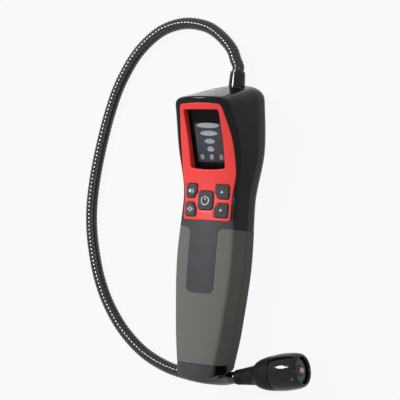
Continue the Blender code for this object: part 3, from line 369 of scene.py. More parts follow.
def rounded_stations(low, high, inset, step):
    """Stations with the pulls of the rounded ends, as (station, pulls)."""
    tail, head = TAIL_Y + inset, HEAD_Y - inset
    ends = ((tail, 1, (TAIL_CORNER, EDGE_RADIUS, TAIL_CORNER, EDGE_RADIUS), low is None),
            (head, -1, (HEAD_CORNER, EDGE_RADIUS, HEAD_BACK_CORNER, HEAD_BACK_EDGE), high is None))
    start, stop = low, high
    rounded = []
    for end, way, radii, used in ends:
        if not used:
            rounded.append([(low if way > 0 else high, (0.0, 0.0, 0.0, 0.0))])
            continue
        radii = [max(radius - inset, 0.0006) for radius in radii]
        reach = max(radii)
        rows = [(end, tuple(radius + END_LIP for radius in radii))]
        for k in range(END_STEPS + 1):
            gap = reach * (1 - cos(pi / 2 * k / END_STEPS))
            rows.append((end + way * gap, tuple(rounding(gap, radius) for radius in radii)))
        if way > 0:
            start = end + reach
            rounded.append(rows)
        else:
            stop = end - reach
            rounded.append(rows[::-1])
    count = max(1, round((stop - start) / step))
    middle = [(start + (stop - start) * k / count, (0.0, 0.0, 0.0, 0.0)) for k in range(1, count)]
    return rounded[0] + middle + rounded[1]


def body_form(inset=0.0, low=None, high=None, step=0.002, bends=8):
    """The body's form, drawn in by an inset, between two stations or to its own rounded ends."""
    rings = []
    for station, pulls in rounded_stations(low, high, inset, step):
        right = half_ring(station, inset, pulls, bends)
        rings.append(right + [Vector((-p.x, p.y, p.z)) for p in reversed(right[1:-1])])
    return loft(rings, bends)


def loft(rings, strips=0):
    """Closed skin over rings of equal length; its ends may be crossed by strips from front to back."""
    bm = bmesh.new()
    rows = [[bm.verts.new(point) for point in ring] for ring in rings]
    banded(bm, rows)
    for row in (rows[0], rows[-1]):
        if not strips:
            bm.faces.new(row)
            continue
        half = len(row) // 2
        for side in (1, -1):
            for k in range(strips):
                bm.faces.new([row[side * i % len(row)] for i in (k, k + 1, half - k - 1, half - k)])
            bm.faces.new([row[side * i % len(row)] for i in range(strips, half - strips + 1)])
    return outward(bm)


def banded(bm, rows):
    """Bands of faces between closed rows of vertices."""
    for lower, upper in zip(rows, rows[1:]):
        for i in range(len(lower)):
            bm.faces.new((lower[i - 1], lower[i], upper[i], upper[i - 1]))


def outward(bm):
    """The form, with all its faces turned outwards."""
    bmesh.ops.recalc_face_normals(bm, faces=bm.faces)
    return bm


class BodySkin:
    """The body's outer surface, addressed by girth from the face's middle line and by station."""

    def __init__(self):
        places = rounded_stations(None, None, 0.0, 0.001)[1:-1]
        halves = [half_ring(station, 0.0, pulls, bends=20) for station, pulls in places]
        self.stations = np.array([place[0] for place in places])
        self.points = np.array([[tuple(p) for p in half] for half in halves])
        steps = np.linalg.norm(np.diff(self.points, axis=1), axis=2)
        self.girths = np.concatenate([np.zeros((len(places), 1)), np.cumsum(steps, axis=1)], axis=1)

    def at(self, spots):
        """Points of the surface at (girth, station) spots."""
        girth, station = np.abs(spots[:, 0]), spots[:, 1]
        row = np.clip(np.searchsorted(self.stations, station) - 1, 0, len(self.stations) - 2)
        share = (station - self.stations[row]) / (self.stations[row + 1] - self.stations[row])
        share = np.clip(share, 0, 1)[:, None]
        lengths = self.girths[row] * (1 - share) + self.girths[row + 1] * share
        k = np.clip((lengths <= girth[:, None]).sum(axis=1) - 1, 0, lengths.shape[1] - 2)
        i = np.arange(len(k))
        along = ((girth - lengths[i, k]) / np.maximum(lengths[i, k + 1] - lengths[i, k], 1e-9))[:, None]
        low = self.points[row, k] * (1 - along) + self.points[row, k + 1] * along
        high = self.points[row + 1, k] * (1 - along) + self.points[row + 1, k + 1] * along
        found = low * (1 - share) + high * share
        found[:, 0] *= np.where(spots[:, 0] < 0, -1, 1)
        return found

    def place(self, spots, depth):
        """Points at a depth under the surface, by (girth, station)."""
        spots = np.asarray(spots, float)
        reach = 0.0002
        across = self.at(spots + (reach, 0)) - self.at(spots - (reach, 0))
        along = self.at(spots + (0, reach)) - self.at(spots - (0, reach))
        normal = np.cross(across, along)
        normal /= np.linalg.norm(normal, axis=1)[:, None]
        return self.at(spots) - normal * np.broadcast_to(depth, len(spots))[:, None]

    def spots(self, flat):
        """(girth, station) of the face's points that lie over (x, y)."""
        flat = np.asarray(flat, float)
        spots = flat.copy()
        for _ in range(30):
            spots += 0.9 * (flat - self.at(spots)[:, :2])
        return spots

    def over(self, flat, depth=0.0):
        """Points at a depth under the face, by (x, y)."""
        return self.place(self.spots(flat), depth)

    def meet(self, plane, outline):
        """(x, y) where lines out of a plane, from its outline's points, pass through the face."""
        base = np.array([tuple(plane @ Vector((u, v, 0))) for u, v in outline])
        way = np.array(tuple(plane.to_3x3() @ Vector((0, 0, 1))))
        low, high = np.zeros(len(base)), np.full(len(base), 0.03)
        for _ in range(24):
            middle = (low + high) / 2
            points = base + middle[:, None] * way
            under = self.at(self.spots(points[:, :2]))[:, 2] > points[:, 2]
            low, high = np.where(under, middle, low), np.where(under, high, middle)
        return (base + low[:, None] * way)[:, :2]


SKIN_OF_BODY = BodySkin()


# Outlines


def arc(centre, radius, start, stop, steps=6):
    """Points along an arc between two angles in degrees."""
    return [(centre[0] + radius * cos(radians(start + (stop - start) * k / steps)),
             centre[1] + radius * sin(radians(start + (stop - start) * k / steps)))
            for k in range(steps + 1)]


def rounded_polygon(corners, radius, steps=6):
    """Outline of a convex polygon with rounded corners."""
    points = []
    for i, corner in enumerate(corners):
        here = Vector(corner)
        before = (Vector(corners[i - 1]) - here).normalized()
        after = (Vector(corners[(i + 1) % len(corners)]) - here).normalized()
        half_angle = before.angle(after) / 2
        reach = radius / (sin(half_angle) / cos(half_angle))
        centre = here + (before + after).normalized() * (radius / sin(half_angle))
        start = here + before * reach - centre
        sweep = start.angle_signed(here + after * reach - centre)
        points += [tuple(centre + Matrix.Rotation(-sweep * k / steps, 2) @ start)
                   for k in range(steps + 1)]
    return points


def tapered_outline(low, high, half_at, radius, steps=7, spacing=0.002):
    """Outline that is mirrored about X = 0, with rounded ends and a varying half-width."""
    marks = [radius * (1 - cos(pi / 2 * k / steps)) for k in range(steps + 1)]
    count = max(1, round((high - low - 2 * radius) / spacing))
    along = [low + mark for mark in marks]
    along += [low + radius + (high - low - 2 * radius) * k / count for k in range(1, count)]
    along += [high - mark for mark in reversed(marks)]
    right = [(half_at(y) - max(rounding(y - low, radius), rounding(high - y, radius)), y)
             for y in along]
    return right + [(-x, y) for x, y in reversed(right)]


def bowed(outline, low_bow, high_bow, half):
    """The outline, with its straight ends bowed outwards."""
    outline = refine(outline, 0.002)
    swell = np.maximum(0, 1 - (outline[:, 0] / half)**2)
    low_end = outline[:, 1] < (outline[:, 1].min() + outline[:, 1].max()) / 2
    outline[:, 1] += swell * np.where(low_end, -low_bow, high_bow)
    return outline


def faceplate_outline(gap):
    """Faceplate's outline, grown by a gap."""
    outline = tapered_outline(FACEPLATE_LOW_Y - gap, FACEPLATE_HIGH_Y + gap,
                              lambda y: smooth(y, FACEPLATE_SIDES) + gap, FACEPLATE_RADIUS)
    return bowed(outline, 0.0, FACEPLATE_BOW, FACEPLATE_SIDES[-1][1])


def deepened(outline):
    """The well's outline with its low end drawn down to that of the window."""
    middle = (WELL_LOW + WELL_HIGH) / 2
    moved = np.array(outline, float)
    moved[:, 1] += (LENS_LOW - WELL_LOW) * np.clip((middle - moved[:, 1]) / (middle - WELL_LOW), 0, 1)
    return moved


def well_outline(gap):
    """Display well's outline in the tilted frame, grown by a gap."""
    def half(v):
        share = (v - WELL_LOW) / (WELL_HIGH - WELL_LOW)
        return WELL_HALF_LOW + (WELL_HALF_HIGH - WELL_HALF_LOW) * share + gap
    outline = tapered_outline(WELL_LOW - gap, WELL_HIGH + gap, half, WELL_RADIUS + gap, 5)
    return bowed(outline, WELL_LOW_BOW, WELL_HIGH_BOW, WELL_HALF_HIGH)


def side_key_outline(right, up, gap):
    """Outline of one side key, with the corner next to the power key cut off."""
    x, y = SIDE_KEY_HALF[0] + gap, SIDE_KEY_HALF[1] + gap
    corners = [(x, -y), (x, y), (-x, y), (-x, -y + SIDE_KEY_CHAMFER[1]),
               (-x + SIDE_KEY_CHAMFER[0], -y)]
    placed = [(right * (SIDE_KEY_X + cx), KEYPAD_Y + up * (SIDE_KEY_PITCH + cy)) for cx, cy in corners]
    if right * up < 0:
        placed.reverse()
    return rounded_polygon(placed, SIDE_KEY_RADIUS + gap)


def power_outline(gap):
    """Outline of the power key."""
    x, y = POWER_HALF[0] + gap, POWER_HALF[1] + gap
    return rounded_polygon([(x, KEYPAD_Y - y), (x, KEYPAD_Y + y), (-x, KEYPAD_Y + y),
                            (-x, KEYPAD_Y - y)], POWER_RADIUS + gap)


def side_key(right, up):
    """A side key's middle, and the function that draws it grown by a gap."""
    return (right * SIDE_KEY_X, KEYPAD_Y + up * SIDE_KEY_PITCH,
            lambda gap: side_key_outline(right, up, gap))


KEYS = {"power_key": (0.0, KEYPAD_Y, power_outline), "sound_key": side_key(-1, 1),
        "vibrate_key": side_key(-1, -1), "high_key": side_key(1, 1), "low_key": side_key(1, -1)}


def window_outline(gap):
    """Inlay window with its flared top, shrunk by a gap, as (x, y) going round anticlockwise."""
    half, radius, flare = WINDOW_HALF - gap, WINDOW_RADIUS - gap, ARM_RADIUS + gap
    low = WINDOW_LOW_Y + gap
    high = GRIP_TOP_Y + gap
    right = arc((half - radius, low + radius), radius, -90, 0)
    right += arc((half + flare, high - flare), flare, 180, 90)
    return right, [(-x, y) for x, y in reversed(right)]


def oval(x, y, half_x, half_y, sides=40):
    """Points round an ellipse."""
    return [(x + half_x * cos(2 * pi * k / sides), y + half_y * sin(2 * pi * k / sides))
            for k in range(sides)]


# Meshes


def refine(loop, spacing):
    """Closed loop with long stretches divided."""
    points = []
    for a, b in zip(loop, list(loop[1:]) + [loop[0]]):
        a, b = np.array(a, float), np.array(b, float)
        length = np.linalg.norm(b - a)
        if length < 1e-6:
            continue
        count = max(1, int(np.ceil(length / spacing)))
        points += [a + (b - a) * k / count for k in range(count)]
    return np.array(points)


def turning(loop, anticlockwise):
    """The loop, running the way asked for."""
    x, y = loop[:, 0], loop[:, 1]
    area = (x * np.roll(y, -1) - y * np.roll(x, -1)).sum()
    return loop if (area > 0) == anticlockwise else loop[::-1]


def offset_loop(loop, distance):
    """Loop moved to its left."""
    ahead = np.roll(loop, -1, axis=0) - loop
    ahead /= np.linalg.norm(ahead, axis=1)[:, None]
    left = np.stack([-ahead[:, 1], ahead[:, 0]], axis=1)
    both = left + np.roll(left, 1, axis=0)
    both /= np.maximum((both**2).sum(axis=1), 1.0)[:, None] / 2
    return loop + both * distance


def inside(points, loop):
    """Which points lie inside a closed loop."""
    x, y = points[:, 0][:, None], points[:, 1][:, None]
    x1, y1 = loop[:, 0], loop[:, 1]
    x2, y2 = np.roll(x1, -1), np.roll(y1, -1)
    rise = np.where(y2 == y1, 1e-12, y2 - y1)
    return (((y1 > y) != (y2 > y)) & (x < x1 + (y - y1) * (x2 - x1) / rise)).sum(axis=1) % 2 == 1


def patch(outer, holes, place, thickness, edge, grid, bends=3):
    """Closed plate over an outline with holes: rounded edges above, straight walls, even thickness.

    place(spots, depth) gives the points in space of flat spots at a depth under the top.
    """
    loops = [turning(refine(outer, grid), True)]
    loops += [turning(refine(hole, grid), False) for hole in holes]
    spots, depths, rows, faces = [], [], [], []
    for loop in loops:
        rings = []
        for k in range(bends + 1):
            angle = pi / 2 * k / bends
            ring = offset_loop(loop, edge * (1 - cos(angle)))
            rings.append(range(len(spots), len(spots) + len(ring)))
            spots.extend(ring)
            depths.extend([edge * (1 - sin(angle))] * len(ring))
        rows.append(rings)
        for low, high in zip(rings, rings[1:]):
            faces += [(low[i - 1], low[i], high[i], high[i - 1]) for i in range(len(loop))]
    bounds = [np.array([spots[i] for i in rings[-1]]) for rings in rows]
    x0, y0 = bounds[0].min(axis=0)
    x1, y1 = bounds[0].max(axis=0)
    free = np.stack(np.meshgrid(np.arange(x0 + grid / 2, x1, grid),
                                np.arange(y0 + grid / 2, y1, grid)), axis=-1).reshape(-1, 2)
    keep = inside(free, bounds[0]) if len(free) else np.zeros(0, bool)
    for hole in bounds[1:]:
        keep &= ~inside(free, hole)
    free = free[keep]
    rim = np.concatenate(bounds)
    if len(free):
        near = np.array([np.min(((rim - spot)**2).sum(axis=1)) for spot in free])
        free = free[near > (0.6 * grid)**2]
    fixed = [i for rings in rows for i in rings[-1]]
    chain, start = [], 0
    for ring in bounds:
        chain += [(start + i, start + (i + 1) % len(ring)) for i in range(len(ring))]
        start += len(ring)
    ids = fixed + list(range(len(spots), len(spots) + len(free)))
    spots.extend(free)
    depths.extend([0.0] * len(free))
    flat = [Vector((spots[i][0] * 1000, spots[i][1] * 1000)) for i in ids]
    made, _, triangles, origins, _, _ = delaunay_2d_cdt(flat, chain, [], 0, 1e-6)
    centres = np.array([sum((made[i] for i in t), Vector((0, 0))) / len(t) / 1000 for t in triangles])
    keep = inside(centres, bounds[0])
    for hole in bounds[1:]:
        keep &= ~inside(centres, hole)
    faces += [tuple(ids[origins[i][0]] for i in t) for t, kept in zip(triangles, keep) if kept]
    spots, depths = np.array(spots), np.array(depths)
    count = len(spots)
    bm = bmesh.new()
    verts = [bm.verts.new(p) for p in place(spots, depths)]
    verts += [bm.verts.new(p) for p in place(spots, np.full(count, thickness))]
    for face in faces:
        bm.faces.new([verts[i] for i in face])
        bm.faces.new([verts[i + count] for i in reversed(face)])
    for rings in rows:
        rim = rings[0]
        for i in range(len(rim)):
            a, b = rim[i - 1], rim[i]
            bm.faces.new([verts[b], verts[a], verts[a + count], verts[b + count]])
    return outward(bm)


def on_plane(plane, height):
    """Placing of a flat patch at a height over a tilted plane."""
    def place(spots, depth):
        return [plane @ Vector((u, v, height - d)) for (u, v), d in zip(spots, depth)]
    return place


def on_face(height):
    """Placing of a patch at a height over the body's face."""
    return lambda spots, depth: SKIN_OF_BODY.over(spots, depth - height)


def prism(outline, low, high, plane=Matrix()):
    """Straight solid over a closed outline."""
    return loft([[plane @ Vector((x, y, z)) for x, y in outline] for z in (low, high)])


def block(x, y, z):
    """Box between two limits on each axis."""
    return prism(((x[0], y[0]), (x[1], y[0]), (x[1], y[1]), (x[0], y[1])), *z)


def slab(z, y=(-FAR, FAR)):
    """Box wider than the body, between two heights and, where given, two stations."""
    return block((-FAR, FAR), y, z)


def meshed(name, bm):
    """Mesh with the form of a bmesh, which is used up."""
    mesh = bpy.data.meshes.new(name)
    bm.to_mesh(mesh)
    bm.free()
    return mesh


def placed(name, data):
    """New object in the scene that shows some data."""
    made = bpy.data.objects.new(name, data)
    bpy.context.scene.collection.objects.link(made)
    return made


def evaluated(made):
    """Plain mesh of an object as its modifiers leave it."""
    bpy.context.view_layer.update()
    depsgraph = bpy.context.evaluated_depsgraph_get()
    return bpy.data.meshes.new_from_object(made.evaluated_get(depsgraph))


def joined(parts):
    """One bmesh that holds several."""
    whole = bmesh.new()
    for part in parts:
        mesh = meshed("part", part)
        whole.from_mesh(mesh)
        bpy.data.meshes.remove(mesh)
    return whole


def combined(base, tool, operation):
    """Exact Boolean of two closed meshes."""
    pair = [placed("form", meshed("form", bm)) for bm in (base, tool)]
    modifier = pair[0].modifiers.new("Boolean", "BOOLEAN")
    modifier.operation = operation
    modifier.solver = "EXACT"
    modifier.object = pair[1]
    mesh = evaluated(pair[0])
    result = bmesh.new()
    result.from_mesh(mesh)
    spent = [mesh] + [made.data for made in pair]
    for made in pair:
        bpy.data.objects.remove(made)
    for old in spent:
        bpy.data.meshes.remove(old)
    return result


def carved(base, *tools):
    """A form with the tools' forms taken away."""
    for tool in tools:
        base = combined(base, tool, "DIFFERENCE")
    return base


def fused(base, *tools):
    """Forms made one."""
    for tool in tools:
        base = combined(base, tool, "UNION")
    return base


def common(base, tool):
    """What two forms share."""
    return combined(base, tool, "INTERSECT")


def shaded(name, bm, angle=32.0):
    """Object with a form, smooth except at edges sharper than an angle in degrees."""
    mesh = meshed(name, bm)
    mesh.shade_smooth()
    mesh.set_sharp_from_angle(angle=radians(angle))
    return placed(name, mesh)


def dressed(piece, finish, slot, nodes=(), body="body"):
    """Give a piece its finish, its body and the nodes that it stands for."""
    piece.data.materials.clear()
    piece.data.materials.append(finish)
    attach(piece, body)
    if nodes:
        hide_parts(*nodes)


def finished(name, bm, *looks, body="body", angle=32.0):
    """Piece of the scene with its finish and the nodes that it stands for; the slot that it is given is not
    used.
    """
    dressed(shaded(name, bm, angle), *looks, body=body)


def turned(profile, place, sides=64):
    """Solid of revolution about the local Z axis from (radius, height) points, closed at the axis."""
    bm = bmesh.new()
    rows = []
    for radius, height in profile:
        count = sides if radius > 1e-7 else 1
        rows.append([bm.verts.new(place @ Vector((radius * cos(2 * pi * k / sides),
                                                  radius * sin(2 * pi * k / sides), height)))
                     for k in range(count)])
    for lower, upper in zip(rows, rows[1:] + rows[:1]):
        for k in range(sides):
            j = (k + 1) % sides
            corners = (lower[k % len(lower)], lower[j % len(lower)],
                       upper[j % len(upper)], upper[k % len(upper)])
            corners = list(dict.fromkeys(corners))
            if len(corners) > 2:
                bm.faces.new(corners)
    return outward(bm)


def rod(radius, low, high, place, sides=32):
    """Round bar about the local Z axis."""
    return turned(((0, low), (radius, low), (radius, high), (0, high)), place, sides)


def towards_head(x, y, z):
    """Frame at a place, with its Z axis towards the head."""
    return Matrix.Translation((x, y, z)) @ Matrix.Rotation(-pi / 2, 4, "X")


def eased(corners, radius, steps=4):
    """Profile of (radius, height) corners with each bend rounded."""
    points = []
    for before, here, after in zip(corners, corners[1:], corners[2:]):
        before, here, after = Vector(before), Vector(here), Vector(after)
        reach = min(radius, (before - here).length * 0.45, (after - here).length * 0.45)
        start = here + (before - here).normalized() * reach
        stop = here + (after - here).normalized() * reach
        for k in range(steps + 1):
            t = k / steps
            spot = start * (1 - t)**2 + here * (2 * t * (1 - t)) + stop * t**2
            points.append((spot.x, spot.y))
    return [corners[0]] + points + [corners[-1]]


# Node trees


class Number:
    """A number in a node tree; arithmetic on it adds Math nodes."""

    def __init__(self, tree, socket):
        self.tree = tree
        self.socket = socket

    def math(self, operation, *values):
        node = self.tree.node("ShaderNodeMath", {"operation": operation}, dict(enumerate(values)))
        return Number(self.tree, node.outputs[0])

    def __add__(self, other):
        return self.math("ADD", self, other)

    def __sub__(self, other):
        return self.math("SUBTRACT", self, other)

    def __rsub__(self, other):
        return self.math("SUBTRACT", other, self)

    def __mul__(self, other):
        return self.math("MULTIPLY", self, other)

    def __truediv__(self, other):
        return self.math("DIVIDE", self, other)

    def __pow__(self, other):
        return self.math("POWER", self, other)

    def __abs__(self):
        return self.math("ABSOLUTE", self)

    def fraction(self):
        """What is left over whole numbers."""
        return self.math("FRACT", self)


class Tree:
    """Builds the nodes of one tree."""

    def __init__(self, tree):
        self.tree = tree

    def put(self, socket, value):
        """Link a value to a socket, or set it there."""
        value = getattr(value, "socket", value)
        if isinstance(value, bpy.types.NodeSocket):
            self.tree.links.new(value, socket)
        else:
            socket.default_value = value

    def node(self, kind, settings=None, sockets=None):
        """A node of a type, with its settings, then the values or links of its sockets."""
        made = self.tree.nodes.new(kind)
        for key, value in (settings or {}).items():
            setattr(made, key, value)
        for key, value in (sockets or {}).items():
            self.put(made.inputs[key], value)
        return made

    def ramp(self, value, start, stop, low=0.0, high=1.0):
        """A number that eases from low to high while the value goes from start to stop."""
        node = self.node("ShaderNodeMapRange", {"interpolation_type": "SMOOTHSTEP"},
                         {"Value": value, "From Min": start, "From Max": stop, "To Min": low,
                          "To Max": high})
        return Number(self, node.outputs["Result"])


def toned(colour, tone):
    """A colour made darker or lighter, with full alpha."""
    return (*[c * tone for c in colour[:3]], 1.0)


class Finish(Tree):
    """A material with one Principled shader and the nodes that feed it."""

    def __init__(self, name, colour, roughness, **constants):
        self.material = bpy.data.materials.new(name)
        self.material.use_nodes = True
        super().__init__(self.material.node_tree)
        self.shader = self.tree.nodes["Principled BSDF"]
        self.base = (*colour, 1.0)
        self.paint(self.base)
        self.put(self.shader.inputs["Roughness"], roughness)
        for key, value in constants.items():
            self.put(self.shader.inputs[key.replace("_", " ")], value)
        self.place = self.node("ShaderNodeTexCoord").outputs["Object"]

    def axes(self, plane=None):
        """X, Y and Z of the place, in a plane's own frame where one is given."""
        place = self.place
        if plane:
            back = plane.inverted()
            place = self.node("ShaderNodeMapping", None,
                              {"Vector": place, "Location": back.translation,
                               "Rotation": back.to_euler()}).outputs[0]
        split = self.node("ShaderNodeSeparateXYZ", None, {0: place})
        return [Number(self, socket) for socket in split.outputs]

    def noise(self, size, detail=2.0, stretch=(1, 1, 1), roughness=0.5):
        """Soft noise with features of about a size in metres, longer along a stretched axis."""
        place = self.node("ShaderNodeMapping", None,
                          {"Vector": self.place, "Scale": [1 / s for s in stretch]}).outputs[0]
        node = self.node("ShaderNodeTexNoise", None, {"Vector": place, "Scale": 1 / size,
                                                      "Detail": detail, "Roughness": roughness})
        return Number(self, node.outputs[0])

    def cells(self, size):
        """Distance to the nearest of many scattered points, for granular surfaces."""
        node = self.node("ShaderNodeTexVoronoi", None, {"Vector": self.place, "Scale": 1 / size})
        return Number(self, node.outputs[0])

    def mix(self, factor, first, second):
        """Colour between two others."""
        node = self.node("ShaderNodeMix", {"data_type": "RGBA"}, {0: factor, 6: first, 7: second})
        return node.outputs[2]

    def paint(self, colour):
        """Set the base colour."""
        self.put(self.shader.inputs["Base Color"], colour)

    def shade(self, factor, darker, lighter):
        """Base colour between a darker and a lighter tone of its own."""
        self.paint(self.mix(factor, toned(self.base, darker), toned(self.base, lighter)))

    def rough(self, value, low, high, start=0.3, stop=0.7):
        """Roughness that eases from low to high while the value goes from start to stop."""
        self.put(self.shader.inputs["Roughness"], self.ramp(value, start, stop, low, high))

    def bump(self, height, distance):
        """Fine relief of a height in metres."""
        node = self.node("ShaderNodeBump", None, {"Height": height, "Distance": distance,
                                                  "Strength": 1.0})
        self.put(self.shader.inputs["Normal"], node.outputs[0])


def settings():
    """The scene's property groups, by short names."""
    scene = bpy.context.scene
    return scene.detector_body, scene.detector_neck, scene.detector_colours, scene.detector_stage


# Finishes


def finish(colour, roughness, **constants):
    """Turn a function that adds a material's detail into one that gives the material, made once.

    The colour is a plain one or the name of a colour setting.
    """
    def wrap(detail):
        def found():
            name = detail.__name__
            if name not in bpy.data.materials:
                base = getattr(settings()[2], colour) if isinstance(colour, str) else colour
                detail(Finish(name, base, roughness, **constants))
            return bpy.data.materials[name]
        return found
    return wrap


@finish("shell", 0.22, Specular_IOR_Level=0.16)
def shell_plastic(made):
    """Gloss black moulding, charcoal and finely brushed on the face of the handle."""
    _, y, z = made.axes()
    face = made.ramp(z, 0.0270, 0.0284) * made.ramp(y, 0.0120, 0.0100)
    lines = made.noise(0.00022, 3.0, (60, 1, 1))
    cloud = made.noise(0.014)
    smudge = made.noise(0.006, 3.0)
    dark, light = [toned(settings()[2].inlay, tone) for tone in (0.70, 1.35)]
    made.paint(made.mix(face, made.base, made.mix(lines * 0.5 + cloud * 0.5, dark, light)))
    gloss = made.ramp(smudge, 0.35, 0.75, 0.13, 0.21)
    made.put(made.shader.inputs["Roughness"], gloss * (1 - face) + (lines * 0.10 + 0.36) * face)
    peel = made.noise(0.0011) * (1 - face) * 0.35
    made.bump(peel + lines * face, 0.00003)


@finish("faceplate", 0.36, Specular_IOR_Level=0.28)
def red_plastic(made):
    """Satin red moulding with a faint spark-eroded grain."""
    grain = made.noise(0.00035, 3.0)
    made.shade(made.noise(0.02) * 0.6 + grain * 0.4, 0.90, 1.08)
    made.rough(grain, 0.32, 0.42)
    made.bump(grain, 0.00002)


@finish("grip", 0.72, Specular_IOR_Level=0.14)
def grip_rubber(made):
    """Matt olive-grey rubber with a dense fine grain."""
    grain = made.noise(0.00030, 4.0, roughness=0.65)
    cloud = made.noise(0.012, 3.0)
    made.shade(grain * 0.55 + cloud * 0.45, 0.82, 1.16)
    made.rough(cloud, 0.66, 0.80)
    made.bump(grain, 0.00005)


@finish("keys", 0.50, Specular_IOR_Level=0.16)
def key_rubber(made):
    """Dark rubber of the keys."""
    grain = made.noise(0.00028, 3.0)
    made.shade(grain, 0.80, 1.25)
    made.rough(grain, 0.44, 0.58)
    made.bump(grain, 0.00003)


@finish("marks", 0.50)
def key_print(made):
    """White print on the keys."""
    made.shade(made.noise(0.0004), 0.90, 1.05)


@finish((0.62, 0.63, 0.66), 0.03, Transmission_Weight=1.0, IOR=1.12, Specular_IOR_Level=0.14)
def smoked_glass(made):
    """Dark glossy display window that the panel shows through."""
    made.rough(made.noise(0.009, 3.0), 0.02, 0.07, 0.4, 0.8)


@finish((0.006, 0.006, 0.007), 0.45, Specular_IOR_Level=0.06)
def printed_panel(made):
    """Black panel with a lighter field behind the lights."""
    u, v, _ = made.axes(DISPLAY_FRAME)
    field = made.ramp(abs(u), FIELD_HALF + FIELD_EDGE, FIELD_HALF)
    field = field * made.ramp(v, FIELD_LOW - FIELD_EDGE, FIELD_LOW)
    field = field * made.ramp(v, FIELD_HIGH + FIELD_EDGE, FIELD_HIGH)
    light = made.mix(made.noise(0.0003), (0.105, 0.107, 0.110, 1.0), (0.135, 0.138, 0.142, 1.0))
    made.paint(made.mix(field, made.base, light))


@finish((0.78, 0.82, 0.82), 0.40)
def light_diffuser(made):
    """Pale frosted plastic of the unlit lights."""
    made.shade(made.noise(0.0005, 3.0), 0.88, 1.06)
    made.bump(made.noise(0.00025), 0.00002)


@finish((0.003, 0.003, 0.004), 0.10, Specular_IOR_Level=0.50)
def neck_coating(made):
    """Glossy black coating of the wound neck, with rubbed places."""
    rub = made.noise(0.003, 3.0)
    made.shade(rub, 0.8, 1.5)
    made.rough(rub, 0.07, 0.13, 0.35, 0.75)


@finish((0.008, 0.008, 0.009), 0.50, Specular_IOR_Level=0.10)
def boot_rubber(made):
    """Satin black rubber of the sensor head's boot."""
    grain = made.noise(0.0004, 3.0)
    made.shade(grain, 0.75, 1.3)
    made.rough(made.noise(0.005), 0.44, 0.56)
    made.bump(grain, 0.00004)


@finish((0.004, 0.004, 0.005), 0.08, Specular_IOR_Level=0.26)
def gloss_plastic(made):
    """Polished black plastic of the cap and the collar."""
    made.rough(made.noise(0.004, 4.0), 0.06, 0.16, 0.4, 0.8)
    made.bump(made.noise(0.002), 0.00001)


@finish((0.085, 0.125, 0.115), 0.60)
def filter_foam(made):
    """Grey-green porous ring in the cap's mouth, with painted shade in its pores."""
    pores = made.cells(0.0004)
    # painted shade: each pore is darker at its sunken middle and lighter on its raised rim
    made.shade(pores, 0.55, 1.7)
    made.bump(pores, 0.00012)


@finish((0.52, 0.36, 0.25), 0.45, Metallic=0.75)
def sintered_bronze(made):
    """Granular bronze disc over the sensing element, with painted shade between its grains."""
    grains = made.cells(0.00035)
    # painted highlight and shade: each grain is lighter on its raised middle and darker towards the sunken
    # gaps
    made.shade(grains, 1.25, 0.55)
    made.bump(1 - grains, 0.00012)


@finish((0.55, 0.56, 0.58), 0.28, Metallic=1.0)
def steel(made):
    """Bright plated steel."""
    marks = made.noise(0.0008, 4.0)
    made.shade(marks, 0.80, 1.1)
    made.rough(marks, 0.20, 0.38)


@finish((0.015, 0.13, 0.055), 0.35)
def board_resist(made):
    """Green solder resist with faint tracks."""
    tracks = made.noise(0.0012, 1.0, (6, 1, 1))
    made.shade(made.ramp(tracks, 0.48, 0.52), 0.75, 1.35)
    made.bump(tracks, 0.00002)


@finish((0.020, 0.020, 0.021), 0.45)
def moulded_black(made):
    """Plain black moulding of the inner parts."""
    grain = made.noise(0.0003)
    made.shade(grain, 0.8, 1.2)
    made.bump(grain, 0.00002)


@finish((0.030, 0.032, 0.038), 0.28, Metallic=0.4)
def cell_wrap(made):
    """Dark printed wrap of a cell with a coppery band at one end of each."""
    _, y, _ = made.axes()
    turn = ((y - CELL_LOW_Y) / ((CELL_ROW_END - CELL_LOW_Y) / 2)).fraction()
    made.paint(made.mix(made.ramp(turn, 0.70, 0.71), made.base, (0.48, 0.24, 0.10, 1.0)))
    made.rough(made.noise(0.002), 0.22, 0.34)


def seen_directly(tree):
    """Number above 0 for rays that come from the camera, by way of mirrors or glass too."""
    rays = tree.node("ShaderNodeLightPath").outputs
    return Number(tree, rays["Is Camera Ray"]) + rays["Is Glossy Ray"] + rays["Is Transmission Ray"]


@finish("floor", 0.9, Specular_IOR_Level=0.1)
def floor_paint(made):
    """Pale floor that the camera sees as white, with the detector's shadow on it."""
    share = seen_directly(made) * FLOOR_WHITE
    white = made.node("ShaderNodeEmission", None, {"Color": (1, 1, 1, 1), "Strength": 1.0})
    both = made.node("ShaderNodeMixShader", None, {
        0: share.math("MINIMUM", share, FLOOR_WHITE), 1: made.shader.outputs[0], 2: white.outputs[0]})
    made.put(made.tree.nodes["Material Output"].inputs["Surface"], both.outputs[0])


# Pieces


class DetectorPiece:
    """What all the operators share."""
    bl_options = {"REGISTER", "UNDO"}

    def execute(self, context):
        self.build()
        return {"FINISHED"}


